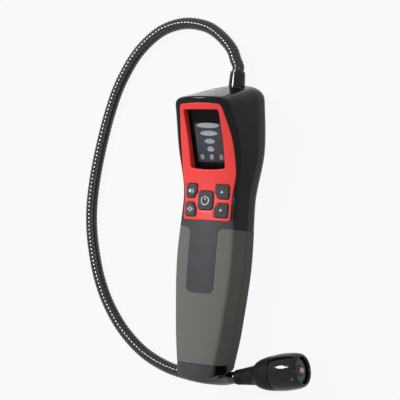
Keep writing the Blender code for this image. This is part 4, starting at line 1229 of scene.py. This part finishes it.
class DETECTOR_OT_front_housing(DetectorPiece, bpy.types.Operator):
    """Front shell with the faceplate's pocket, the grip's rebate, the inlay and a top recess"""
    bl_idname = "detector.front_housing"
    bl_label = "Front housing"

    def build(self):
        shell = common(body_form(), slab((PARTING_Z + CLEARANCE / 2, FAR)))
        band = carved(body_form(-0.002, step=0.003), body_form(SKIN + CLEARANCE, step=0.003))
        right, left = window_outline(SEAM)
        inlay = prism(right + [(right[-1][0], FAR), (left[0][0], FAR)] + left,
                      INLAY_LOW_Z, FAR + 0.1)
        grip = carved(slab((PARTING_Z - CLEARANCE, FAR), (GRIP_BASE_Y - SEAM, GRIP_TOP_Y + SEAM)), inlay)
        plate = prism(faceplate_outline(SEAM), POCKET_Z, FAR)
        shell = carved(shell, common(band, fused(grip, plate)), body_form(SKIN + WALL, **COARSE))
        half = SIDE_KEY_X + SIDE_KEY_HALF[0] + KEYPAD_MARGIN
        reach = SIDE_KEY_PITCH + SIDE_KEY_HALF[1] + KEYPAD_MARGIN
        keypad = block((-half, half), (KEYPAD_Y - reach, KEYPAD_Y + reach), (POCKET_Z, FAR))
        well = prism(deepened(well_outline(WELL_WALL + SEAM)), -0.0062, 0.014, DISPLAY_FRAME)
        shell = carved(shell, keypad, well, self.top_recess())
        finished("front_housing_shell", shell, shell_plastic(), "black_shell", ["front_housing"])

    def top_recess(self):
        """Thin rectangular groove in the head's leaning top face."""
        slope = (Matrix.Translation((0, HEAD_Y + bow(RECESS_X - 0.003, HEAD_Y), PARTING_Z))
                 @ Matrix.Rotation(atan2(HEAD_LEAN, 1) - pi / 2, 4, "X"))
        frames = []
        for gap, depth, rise in ((0.0, RECESS_DEPTH, 0.002), (RECESS_LINE, 0.003, 0.003)):
            half, low, high = RECESS_HALF - gap, RECESS_LOW + gap, RECESS_HIGH - gap
            corners = [(RECESS_X - half, -low), (RECESS_X - half, -high),
                       (RECESS_X + half, -high), (RECESS_X + half, -low)]
            frames.append(prism(rounded_polygon(corners, RECESS_RADIUS - gap / 2), -depth, rise, slope))
        return carved(*frames)


class DETECTOR_OT_rear_housing(DetectorPiece, bpy.types.Operator):
    """Rear shell of the head, with the cell cradle that reaches down the handle"""
    bl_idname = "detector.rear_housing"
    bl_label = "Rear housing"

    def build(self):
        top = PARTING_Z - CLEARANCE / 2
        end_y = CELL_ROW_END + CELL_PLATE
        shell = carved(common(body_form(low=GRIP_TOP_Y), slab((-FAR, top))),
                       body_form(WALL, low=GRIP_TOP_Y - 0.01, **COARSE))
        cradle = common(body_form(SKIN + WALL + CLEARANCE, **COARSE),
                        slab((CRADLE_BASE_Z, CRADLE_TOP_Z),
                             (CELL_LOW_Y - SPRING_LENGTH - SPRING_SEAT, end_y + WALL)))
        end_wall = common(body_form(WALL / 2, end_y, end_y + WALL, **COARSE), slab((WALL / 2, top)))
        rail = common(body_form(WALL / 2, GRIP_TOP_Y, end_y + WALL, **COARSE),
                      slab((CRADLE_BASE_Z - 0.002, top)))
        half = CELL_PAIR_GAP / 2 + 2 * CELL_RADIUS + CELL_GAP
        rail = carved(rail, block((-half, half), (-FAR, end_y), (-FAR, FAR)))
        shell = fused(shell, cradle, end_wall, rail)
        cell_x = CELL_RADIUS + CELL_PAIR_GAP / 2
        cell_z = WALL + CELL_GAP + CELL_RADIUS + CLEARANCE
        for side in (-1, 1):
            shell = carved(shell, rod(CELL_RADIUS + CELL_GAP, -FAR, 0, towards_head(side * cell_x, end_y,
                                                                                  cell_z)))
        head = SCREW_RECESS + SCREW_HEAD_HEIGHT + CLEARANCE
        wide = SCREW_HEAD_RADIUS + CLEARANCE
        for x, y in SCREW_SPOTS:
            place = Matrix.Translation((x, y, 0))
            hole = turned(((0, -0.001), (wide + 0.0014, -0.001), (wide, 0.0004), (wide, head),
                           (SCREW_HOLE_RADIUS, head), (SCREW_HOLE_RADIUS, FAR), (0, FAR)), place, 32)
            shell = carved(fused(shell, rod(BOSS_RADIUS, WALL / 2, top, place, 24)), hole)
        half = TONGUE_HALF + CLEARANCE
        doorway = block((-half, half), (-FAR, TONGUE_TOP_Y + CLEARANCE), (-0.001, WALL + CLEARANCE))
        neck_hole = rod(NECK_HOLE_RADIUS, -0.008, FAR, towards_head(0, HEAD_Y, NECK_Z))
        finished("rear_housing_shell", carved(shell, doorway, neck_hole), shell_plastic(), "black_shell",
                 ["rear_housing"])


class DETECTOR_OT_grip(DetectorPiece, bpy.types.Operator):
    """Rubber skin over the front of the handle, framing the inlay"""
    bl_idname = "detector.grip"
    bl_label = "Grip"

    def build(self):
        corner = self.girth_at(self.station_at(self.girth_at(-0.085)))
        foot = [(corner * (2 * k / 40 - 1), self.station_at(abs(corner * (2 * k / 40 - 1))))
                for k in range(41)]
        start = foot[-1][1]
        stations = [start + (GRIP_TOP_Y - start) * k / 45 for k in range(1, 46)]
        side = [(self.girth_at(station), station) for station in stations]
        right, left = window_outline(0.0)
        notch = [tuple(spot) for spot in SKIN_OF_BODY.spots(np.array(right + left))]
        loop = foot + side + notch[:len(right)][::-1] + notch[len(right):][::-1]
        loop += [(-girth, station) for girth, station in reversed(side)]
        grip = patch(loop, [], SKIN_OF_BODY.place, SKIN, settings()[0].grip_edge, 0.0011, 4)
        finished("grip_skin", grip, grip_rubber(), "grip_rubber", ["grip_overmold"])

    def girth_at(self, station):
        """Girth at which the skin comes down to the parting line."""
        return last(0.018, 0.060, lambda girth: SKIN_OF_BODY.at(np.array([[girth, station]]))[0, 2]
                    > PARTING_Z + CLEARANCE / 2)

    def station_at(self, girth):
        """Station at which the skin reaches the grip's foot."""
        return last(-0.0905, -0.06, lambda station: SKIN_OF_BODY.at(np.array([[girth, station]]))[0, 1]
                    < GRIP_BASE_Y)


class DETECTOR_OT_battery_cover(DetectorPiece, bpy.types.Operator):
    """Rubber-faced rear of the handle, with a tongue that hooks into the rear housing"""
    bl_idname = "detector.battery_cover"
    bl_label = "Battery cover"

    def build(self):
        cover = common(body_form(high=GRIP_TOP_Y - SEAM), slab((-FAR, PARTING_Z - CLEARANCE / 2)))
        cover = carved(cover, body_form(WALL, high=GRIP_TOP_Y + 0.01, **COARSE))
        cover = fused(cover, block((-TONGUE_HALF, TONGUE_HALF), (GRIP_TOP_Y - 0.004, TONGUE_TOP_Y),
                                   (0, WALL)))
        low, back = WALL + CLEARANCE, TONGUE_TOP_Y - HOOK_REACH
        for side in (-1, 1):
            width = (side * HOOK_X - HOOK_HALF, side * HOOK_X + HOOK_HALF)
            hook = block(width, (back, TONGUE_TOP_Y + HOOK_REACH), (low, low + HOOK_THICKNESS))
            root = block(width, (back, TONGUE_TOP_Y), (WALL / 2, low + HOOK_THICKNESS / 2))
            cover = fused(cover, hook, root)
        finished("battery_cover_shell", cover, grip_rubber(), "grip_rubber", ["battery_cover"],
                 body="battery_cover")


class DETECTOR_OT_faceplate(DetectorPiece, bpy.types.Operator):
    """Red skin over the head and keys, with the deep well round the display"""
    bl_idname = "detector.faceplate"
    bl_label = "Faceplate"

    def build(self):
        edge = settings()[0].edge
        mouth = SKIN_OF_BODY.meet(DISPLAY_FRAME, well_outline(0.0))
        holes = [mouth] + [outline(CLEARANCE) for _, _, outline in KEYS.values()]
        plate = patch(faceplate_outline(0.0), holes, SKIN_OF_BODY.over, SKIN, edge, 0.0010)
        finished("faceplate_skin", joined([plate, self.well(edge)]), red_plastic(), "red_shell",
                 ["faceplate"])

    def well(self, edge):
        """Wall that stands round the display, from the window up to the skin."""
        inner = turning(well_outline(0.0), True)
        outer = offset_loop(inner, -WELL_WALL)
        rims = [SKIN_OF_BODY.over(SKIN_OF_BODY.meet(DISPLAY_FRAME, loop), depth)
                for loop, depth in ((inner, edge), (outer, SKIN / 2))]
        floors = [[DISPLAY_FRAME @ Vector((u, v, -LENS_THICKNESS)) for u, v in deepened(loop)]
                  for loop in (outer, inner)]
        bm = bmesh.new()
        rows = [[bm.verts.new(p) for p in row] for row in floors + rims]
        banded(bm, rows + rows[:1])
        return outward(bm)


class DETECTOR_OT_display(DetectorPiece, bpy.types.Operator):
    """Smoked window, printed panel and the lights behind it"""
    bl_idname = "detector.display"
    bl_label = "Display"

    def build(self):
        window = patch(deepened(well_outline(-CLEARANCE)), [], on_plane(DISPLAY_FRAME, 0.0),
                       LENS_THICKNESS, 0.00015, 0.004, 2)
        finished("window_lens", window, smoked_glass(), "smoked_lens", ["display_window"])
        top = -LENS_THICKNESS - CLEARANCE
        lights = [("level_light_%d" % (i + 1), 0.0, LIGHT_PITCH * (i + 1), width)
                  for i, width in enumerate(LIGHT_WIDTHS)]
        lights += [("status_light_" + name, side * STATUS_X, 0.0, STATUS_WIDTH)
                   for name, side in (("left", -1), ("middle", 0), ("right", 1))]
        grow = CLEARANCE / 2
        holes = [oval(x, v, width / 2 + grow, LIGHT_HEIGHT / 2 + grow) for _, x, v, width in lights]
        panel = patch(deepened(well_outline(WELL_WALL / 2)), holes, on_plane(DISPLAY_FRAME, top),
                      PANEL_THICKNESS, 0.0001, 0.003, 1)
        finished("panel_plate", panel, printed_panel(), "panel", ["indicator_panel"])
        for name, x, v, width in lights:
            light = patch(oval(x, v, width / 2, LIGHT_HEIGHT / 2), [], on_plane(DISPLAY_FRAME, top),
                          PANEL_THICKNESS, 0.0004, 0.0012)
            finished(name + "_lens", light, light_diffuser(), "light_guide", [name])
            if name.startswith("status"):
                mark = patch(oval(x, v, 0.0005, 0.0009, 20), [oval(x, v, 0.00026, 0.00062, 20)],
                             on_plane(DISPLAY_FRAME, top + 0.00005), 0.0001, 0.00002, 0.0005, 1)
                finished(name + "_mark", mark, moulded_black(), "part_black")


def stroke(path, width):
    """Outline of a line of even width with square ends."""
    path = np.array(path, float)
    ahead = np.gradient(path, axis=0)
    ahead /= np.linalg.norm(ahead, axis=1)[:, None]
    left = np.stack([-ahead[:, 1], ahead[:, 0]], axis=1) * width / 2
    return [tuple(p) for p in path + left] + [tuple(p) for p in (path - left)[::-1]]


def key_marks(name, x, y):
    """Outlines of a key's symbol: switch-on ring, speaker, shaking case, or up and down arrows."""
    if name == "power_key":
        return [stroke(arc((x, y - 0.0001), 0.0028, 118, 422, 28), BOLD_LINE),
                stroke([(x, y + 0.0002), (x, y + 0.0034)], BOLD_LINE)]
    if name == "sound_key":
        half = [(x - 0.0022, 0.0007), (x - 0.0013, 0.0007), (x - 0.0002, 0.0017)]
        body = [(u, y - v) for u, v in half] + [(u, y + v) for u, v in reversed(half)]
        return [body] + [stroke(arc((x - 0.0004, y), radius, -42, 42, 8), FINE_LINE)
                         for radius in (0.0013, 0.0023)]
    if name == "vibrate_key":
        case = [(x + u * 0.0009, y + v * 0.0013) for u, v in ((-1, -1), (1, -1), (1, 1), (-1, 1), (-1, -1))]
        bars = list(zip(case, case[1:]))
        bars += [((x + side * reach, y - tall), (x + side * reach, y + tall)) for side in (-1, 1)
                 for reach, tall in ((0.0017, 0.0009), (0.0025, 0.0005))]
        return [stroke(bar, FINE_LINE) for bar in bars]
    up = 1 if name == "high_key" else -1
    return [[(x - 0.0009, y - up * 0.0007), (x + 0.0009, y - up * 0.0007), (x, y + up * 0.0010)]]


class DETECTOR_OT_keys(DetectorPiece, bpy.types.Operator):
    """Five rubber keys with their printed symbols"""
    bl_idname = "detector.keys"
    bl_label = "Keys"

    def build(self):
        edge = settings()[0].key_edge
        for name, (x, y, outline) in KEYS.items():
            cap = patch(outline(0.0), [], on_face(KEY_RISE), KEY_RISE + SKIN, edge, 0.0008, 4)
            finished(name + "_cap", cap, key_rubber(), "key_rubber", [name], body=name)
            marks = joined([patch(loop, [], on_face(KEY_RISE + 0.00004), 0.00012, 0.00002, 0.0012, 1)
                            for loop in key_marks(name, x, y)])
            finished(name + "_symbol", marks, key_print(), "light_guide", body=name)


def neck_line():
    """Centre line of the neck, from inside the collar to inside the boot."""
    start_y = COLLAR_TIP_Y - NECK_INSERT + CLEARANCE
    points = [Vector((NECK_ROOT_X, y, NECK_Z)) for y in (start_y, start_y + 0.004, COLLAR_TIP_Y)]
    last = len(NECK_ROUTE) - 1
    for i, (x, y) in enumerate(NECK_ROUTE):
        drop = max(0.0, 1 - i / 4)
        climb = max(0.0, (i - last + 2) / 2)
        points.append(Vector((x, y, NECK_FLOOR + (NECK_Z - NECK_FLOOR) * drop**2 + 0.0010 * climb)))
    for depth, shift in ((-0.0120, (0, -0.0002, -0.0040)), (-0.0050, (0, 0, -0.0008)), (0, (0, 0, 0)),
                         (NECK_INSERT - CLEARANCE, (0, 0, 0))):
        points.append(PROBE_FRAME @ Vector((0, 0, depth)) + Vector(shift))
    fine = []
    padded = [2 * points[0] - points[1]] + points + [2 * points[-1] - points[-2]]
    for a, b, c, d in zip(padded, padded[1:], padded[2:], padded[3:]):
        for k in range(24):
            t = k / 24
            fine.append(0.5 * (2 * b + (c - a) * t + (2 * a - 5 * b + 4 * c - d) * t**2
                               + (3 * b - a - 3 * c + d) * t**3))
    return fine + [points[-1]]


def group_tree(name, inputs):
    """Geometry node group with named inputs, as (tree, its input node, its output node)."""
    group = bpy.data.node_groups.new(name, "GeometryNodeTree")
    group.interface.new_socket("Geometry", in_out="OUTPUT", socket_type="NodeSocketGeometry")
    group.interface.new_socket("Geometry", in_out="INPUT", socket_type="NodeSocketGeometry")
    for label, kind in inputs:
        group.interface.new_socket(label, in_out="INPUT", socket_type="NodeSocket" + kind)
    tree = Tree(group)
    return tree, tree.node("NodeGroupInput"), tree.node("NodeGroupOutput")


def grown(name, bm, tree, values):
    """Plain mesh that a geometry node tree makes from a mesh and the values of its inputs."""
    source = placed(name, meshed(name, bm))
    modifier = source.modifiers.new("Nodes", "NODES")
    modifier.node_group = tree.tree
    for item in tree.tree.interface.items_tree:
        if item.in_out == "INPUT" and item.name in values:
            modifier[item.identifier] = values[item.name]
    plain, source_mesh = evaluated(source), source.data
    source.modifiers.remove(modifier)
    source.data = plain
    bpy.data.meshes.remove(source_mesh)
    return source


def ending(tree, given, result, geometry):
    """Last nodes of a tree: real instances with the finish that it is given."""
    real = tree.node("GeometryNodeRealizeInstances", None, {0: geometry})
    painted = tree.node("GeometryNodeSetMaterial", None,
                        {"Geometry": real.outputs[0], "Material": given.outputs["Finish"]})
    tree.put(result.inputs[0], painted.outputs[0])


class DETECTOR_OT_neck(DetectorPiece, bpy.types.Operator):
    """Polished collar and the wound neck with its fine ribs"""
    bl_idname = "detector.neck"
    bl_label = "Neck"

    def build(self):
        self.collar()
        self.winding()

    def collar(self):
        """Polished tapered collar that stands on the head's rounded end."""
        tip, low = COLLAR_SEEN_TIP_Y, HEAD_Y - 0.0040
        profile = eased([(NECK_RADIUS + 0.0001, low), (COLLAR_BASE_RADIUS, low),
                         (COLLAR_BASE_RADIUS, HEAD_Y + 0.0040), (COLLAR_TIP_RADIUS + 0.0001, tip - 0.0016),
                         (COLLAR_TIP_RADIUS - 0.0001, tip - 0.0012), (COLLAR_TIP_RADIUS - 0.0001, tip),
                         (NECK_RADIUS + 0.0001, tip), (NECK_RADIUS + 0.0001, low)], 0.0006)
        collar = carved(turned(profile, towards_head(NECK_ROOT_X, 0, NECK_Z), 96),
                        body_form(-CLEARANCE / 3))
        finished("collar_sleeve", collar, gloss_plastic(), "gloss_black", ["neck_collar"], angle=40.0)

    def winding(self):
        """Ribbed tube along the neck's line."""
        neck = settings()[1]
        tree, given, result = group_tree("neck_winding", (
            ("Radius", "Float"), ("Rib pitch", "Float"), ("Groove depth", "Float"), ("Sides", "Int"),
            ("Finish", "Material")))
        curve = tree.node("GeometryNodeMeshToCurve", None, {"Mesh": given.outputs["Geometry"]})
        pitch = Number(tree, given.outputs["Rib pitch"])
        even = tree.node("GeometryNodeResampleCurve", {"mode": "LENGTH"},
                         {"Curve": curve.outputs[0], "Length": pitch / 8})
        along = Number(tree, tree.node("GeometryNodeSplineParameter").outputs["Length"])
        groove = abs((along / pitch).fraction() * 2 - 1) ** 2 * given.outputs["Groove depth"]
        sized = tree.node("GeometryNodeSetCurveRadius", None,
                          {"Curve": even.outputs[0],
                           "Radius": Number(tree, given.outputs["Radius"]) - groove})
        ring = tree.node("GeometryNodeCurvePrimitiveCircle", None,
                         {"Resolution": given.outputs["Sides"], "Radius": 1.0})
        tube = tree.node("GeometryNodeCurveToMesh", None,
                         {"Curve": sized.outputs[0], "Profile Curve": ring.outputs[0],
                          "Fill Caps": True})
        if "Scale" in tube.inputs:
            radius = tree.node("GeometryNodeInputRadius")
            tree.put(tube.inputs["Scale"], radius.outputs[0])
        ending(tree, given, result, tube.outputs[0])
        bm = bmesh.new()
        line = [bm.verts.new(point) for point in neck_line()]
        for a, b in zip(line, line[1:]):
            bm.edges.new((a, b))
        tube = grown("neck_winding", bm, tree, {
            "Radius": NECK_RADIUS, "Rib pitch": neck.pitch, "Groove depth": neck.groove,
            "Sides": neck.sides, "Finish": neck_coating()})
        tube.data.shade_smooth()
        dressed(tube, neck_coating(), "neck", ["gooseneck"])


class DETECTOR_OT_sensor_head(DetectorPiece, bpy.types.Operator):
    """Rubber boot, screw-on cap, sensor and filter ring"""
    bl_idname = "detector.sensor_head"
    bl_label = "Sensor head"

    def build(self):
        seam = PROBE_SEAM
        sleeve = [(NECK_RADIUS + 0.0002, 0.0), (0.0049, 0.0)]
        for k in range(5):
            start, rib, groove = 0.0004 + 0.0011 * k, 0.0050 + 0.0001 * k, 0.0048 + 0.0001 * k
            sleeve += [(rib, start), (rib, start + 0.0006), (groove, start + 0.0007),
                       (groove, start + 0.0010)]
        flare = [(0.0056, 0.0064), (0.0064, 0.0140), (0.0071, 0.0156), (0.0089, 0.0182),
                 (0.0101, 0.0212), (0.0109, 0.0248), (0.01145, seam - 0.0012), (0.0115, seam - 0.0004),
                 (0.0113, seam), (THREAD_RADIUS, seam), (THREAD_RADIUS, 0.0340), (0.0080, 0.0340),
                 (0.0076, 0.0244), (NECK_RADIUS, 0.0140), (0, 0.0140), (0, 0.0080),
                 (NECK_RADIUS + 0.0002, 0.0080)]
        boot = eased(sleeve + flare, 0.0010)
        finished("boot_moulding", turned(boot, PROBE_FRAME, 72), boot_rubber(), "boot", ["probe_boot"])
        front = PROBE_LENGTH + 0.0016
        lip = front - 0.0022
        cap = eased([(0.0100, seam + CLEARANCE), (0.0115, seam + CLEARANCE), (0.0118, seam + 0.0012),
                     (0.0121, seam + 0.0050), (0.0122, seam + 0.0080), (0.01205, seam + 0.0125),
                     (0.0116, front - 0.0034), (0.0107, front - 0.0008), (0.0098, front),
                     (0.0090, front), (0.0087, front - 0.0006), (0.0084, front - 0.0012),
                     (0.0084, lip), (0.0100, lip - 0.0016)], 0.0012)
        finished("cap_polished", turned(cap, PROBE_FRAME, 96), gloss_plastic(), "gloss_black",
                 ["sensor_cap"], body="sensor_cap")
        top = lip - 0.0022
        can = 0.0022
        sensor = eased([(0, SENSOR_BACK), (SENSOR_RADIUS, SENSOR_BACK), (SENSOR_RADIUS, top), (can, top),
                        (can, lip + 0.0008), (can - 0.0005, lip + 0.0015), (0.0012, lip + 0.0018),
                        (0, lip + 0.0018)], 0.0003)
        finished("sensor_can", turned(sensor, PROBE_FRAME, 64), sintered_bronze(), "sensor",
                 ["gas_sensor"])
        low = top + CLEARANCE
        ring = eased([(0.0038, low), (0.0055, low), (0.0080, low), (0.0080, low + 0.0012),
                      (0.0055, low + 0.0016), (0.0038, low + 0.0010), (0.0038, low)], 0.0003)
        finished("filter_foam_ring", turned(ring, PROBE_FRAME, 64), filter_foam(), "filter",
                 ["filter_ring"])
        seat = eased([(can + 0.0001, low), (0.0037, low), (0.0037, low + 0.0012),
                      (can + 0.0001, low + 0.0020), (can + 0.0001, low)], 0.0003)
        finished("sensor_seat", turned(seat, PROBE_FRAME, 48), moulded_black(), "part_black")


class DETECTOR_OT_screws(DetectorPiece, bpy.types.Operator):
    """Four cross-recessed housing screws in the back"""
    bl_idname = "detector.screws"
    bl_label = "Housing screws"

    def build(self):
        low = SCREW_RECESS
        head = low + SCREW_HEAD_HEIGHT
        screw = turned(eased([(0, low), (SCREW_HEAD_RADIUS, low), (SCREW_HEAD_RADIUS, head),
                              (0.0012, head), (0.0012, 0.0205), (0, 0.0215)], 0.0003), Matrix(), 32)
        for turn in (0.0, pi / 2):
            slot = block((-0.0016, 0.0016), (-0.0003, 0.0003), (low - 0.001, low + 0.0010))
            slot.transform(Matrix.Rotation(turn + pi / 4, 4, "Z"))
            screw = carved(screw, slot)
        pattern = shaded("screw_form", screw)
        tree, given, result = group_tree("screw_set", (("Screw", "Object"), ("Finish", "Material")))
        info = tree.node("GeometryNodeObjectInfo", None, {"Object": given.outputs["Screw"]})
        spread = tree.node("GeometryNodeInstanceOnPoints", None,
                           {"Points": given.outputs["Geometry"], "Instance": info.outputs["Geometry"]})
        ending(tree, given, result, spread.outputs[0])
        bm = bmesh.new()
        for x, y in SCREW_SPOTS:
            bm.verts.new((x, y, 0))
        screws = grown("screw_set", bm, tree, {"Screw": pattern, "Finish": steel()})
        bpy.data.objects.remove(pattern)
        dressed(screws, steel(), "steel", ["housing_screw_%d" % (k + 1) for k in range(4)])


class DETECTOR_OT_inner_parts(DetectorPiece, bpy.types.Operator):
    """Finishes of the boards, switches, cells and metal parts inside"""
    bl_idname = "detector.inner_parts"
    bl_label = "Inner parts"

    def build(self):
        finishes = (("board", board_resist), ("switch", moulded_black), ("buzzer", moulded_black),
                    ("motor", steel), ("cell_spring", steel), ("contact_plate", steel),
                    ("neck_nut", steel), ("seal_ring", moulded_black), ("cell_", cell_wrap))
        for name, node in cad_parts.items():
            for word, finish in finishes:
                if word in name and not node.hide_render:
                    node.data.materials.clear()
                    node.data.materials.append(finish())
                    break


class DETECTOR_OT_stage(DetectorPiece, bpy.types.Operator):
    """Pale floor, soft lamps, world and camera"""
    bl_idname = "detector.stage"
    bl_label = "Stage"

    def build(self):
        scene = bpy.context.scene
        stage = settings()[3]
        bm = bmesh.new()
        bm.faces.new([bm.verts.new((x * FLOOR_HALF, y * FLOOR_HALF, FLOOR_Z))
                      for x, y in ((-1, -1), (1, -1), (1, 1), (-1, 1))])
        floor = placed("floor", meshed("floor", bm))
        floor.data.materials.append(floor_paint())
        self.lamp("key_lamp", (-0.55, 0.35, 0.95), stage.key_light, 0.20, 0.32)
        self.lamp("strip_lamp", (0.80, 0.05, 1.10), stage.fill_light, 0.08, 0.90)
        self.lamp("end_lamp", (0.10, -0.80, 0.60), stage.fill_light / 3, 0.16, 0.16)
        self.world()
        camera = placed("camera", bpy.data.cameras.new("camera"))
        camera.data.lens = CAMERA_LENS
        camera.data.sensor_width = 36.0
        camera.data.clip_start = 0.05
        turn = Matrix((CAMERA_RIGHT, CAMERA_UP, CAMERA_BACK)).transposed()
        camera.matrix_world = Matrix.Translation(CAMERA_PLACE) @ turn.to_quaternion().to_matrix().to_4x4()
        scene.camera = camera
        scene.view_settings.view_transform = "Standard"

    def lamp(self, name, place, power, width, height):
        """Soft oblong lamp that shines on the detector."""
        light = bpy.data.lights.new(name, "AREA")
        light.energy = power
        light.shape = "RECTANGLE"
        light.size = width
        light.size_y = height
        lamp = placed(name, light)
        lamp.location = place
        lamp.rotation_mode = "QUATERNION"
        lamp.rotation_quaternion = Vector(place).to_track_quat("Z", "Y")

    def world(self):
        """Soft grey surroundings that the camera sees as white."""
        world = bpy.data.worlds.new("studio")
        world.use_nodes = True
        bpy.context.scene.world = world
        tree = Tree(world.node_tree)
        background = world.node_tree.nodes["Background"]
        tree.put(background.inputs["Color"], (1, 1, 1, 1))
        tree.put(background.inputs["Strength"], tree.ramp(seen_directly(tree), 0.0, 1.0, WORLD_LIGHT, 1.0))


PIECES = (DETECTOR_OT_stage, DETECTOR_OT_front_housing, DETECTOR_OT_rear_housing, DETECTOR_OT_grip,
          DETECTOR_OT_battery_cover, DETECTOR_OT_faceplate, DETECTOR_OT_display, DETECTOR_OT_keys,
          DETECTOR_OT_neck, DETECTOR_OT_sensor_head, DETECTOR_OT_screws, DETECTOR_OT_inner_parts)
GROUPS = {"detector_body": DetectorBody, "detector_neck": DetectorNeck,
          "detector_colours": DetectorColours, "detector_stage": DetectorStage}


class DETECTOR_PT_panel(bpy.types.Panel):
    """Settings and pieces of the detector"""
    bl_idname = "DETECTOR_PT_panel"
    bl_label = "Gas detector"
    bl_space_type = "VIEW_3D"
    bl_region_type = "UI"
    bl_category = "Detector"

    def draw(self, context):
        for name, group in GROUPS.items():
            column = self.layout.column()
            for key in group.__annotations__:
                column.prop(getattr(context.scene, name), key)
        for piece in PIECES:
            self.layout.operator(piece.bl_idname)


def register():
    """Register the settings, the operators and the panel."""
    for group in GROUPS.values():
        bpy.utils.register_class(group)
    for name, group in GROUPS.items():
        setattr(bpy.types.Scene, name, bpy.props.PointerProperty(type=group))
    for made in PIECES + (DETECTOR_PT_panel,):
        bpy.utils.register_class(made)


def unregister():
    """Take the panel, the operators and the settings away."""
    for made in (DETECTOR_PT_panel,) + PIECES[::-1]:
        bpy.utils.unregister_class(made)
    for name, group in GROUPS.items():
        delattr(bpy.types.Scene, name)
        bpy.utils.unregister_class(group)


def main():
    """Build every piece."""
    register()
    for piece in PIECES:
        family, action = piece.bl_idname.split(".")
        getattr(getattr(bpy.ops, family), action)()


if __name__ == "__main__":
    main()
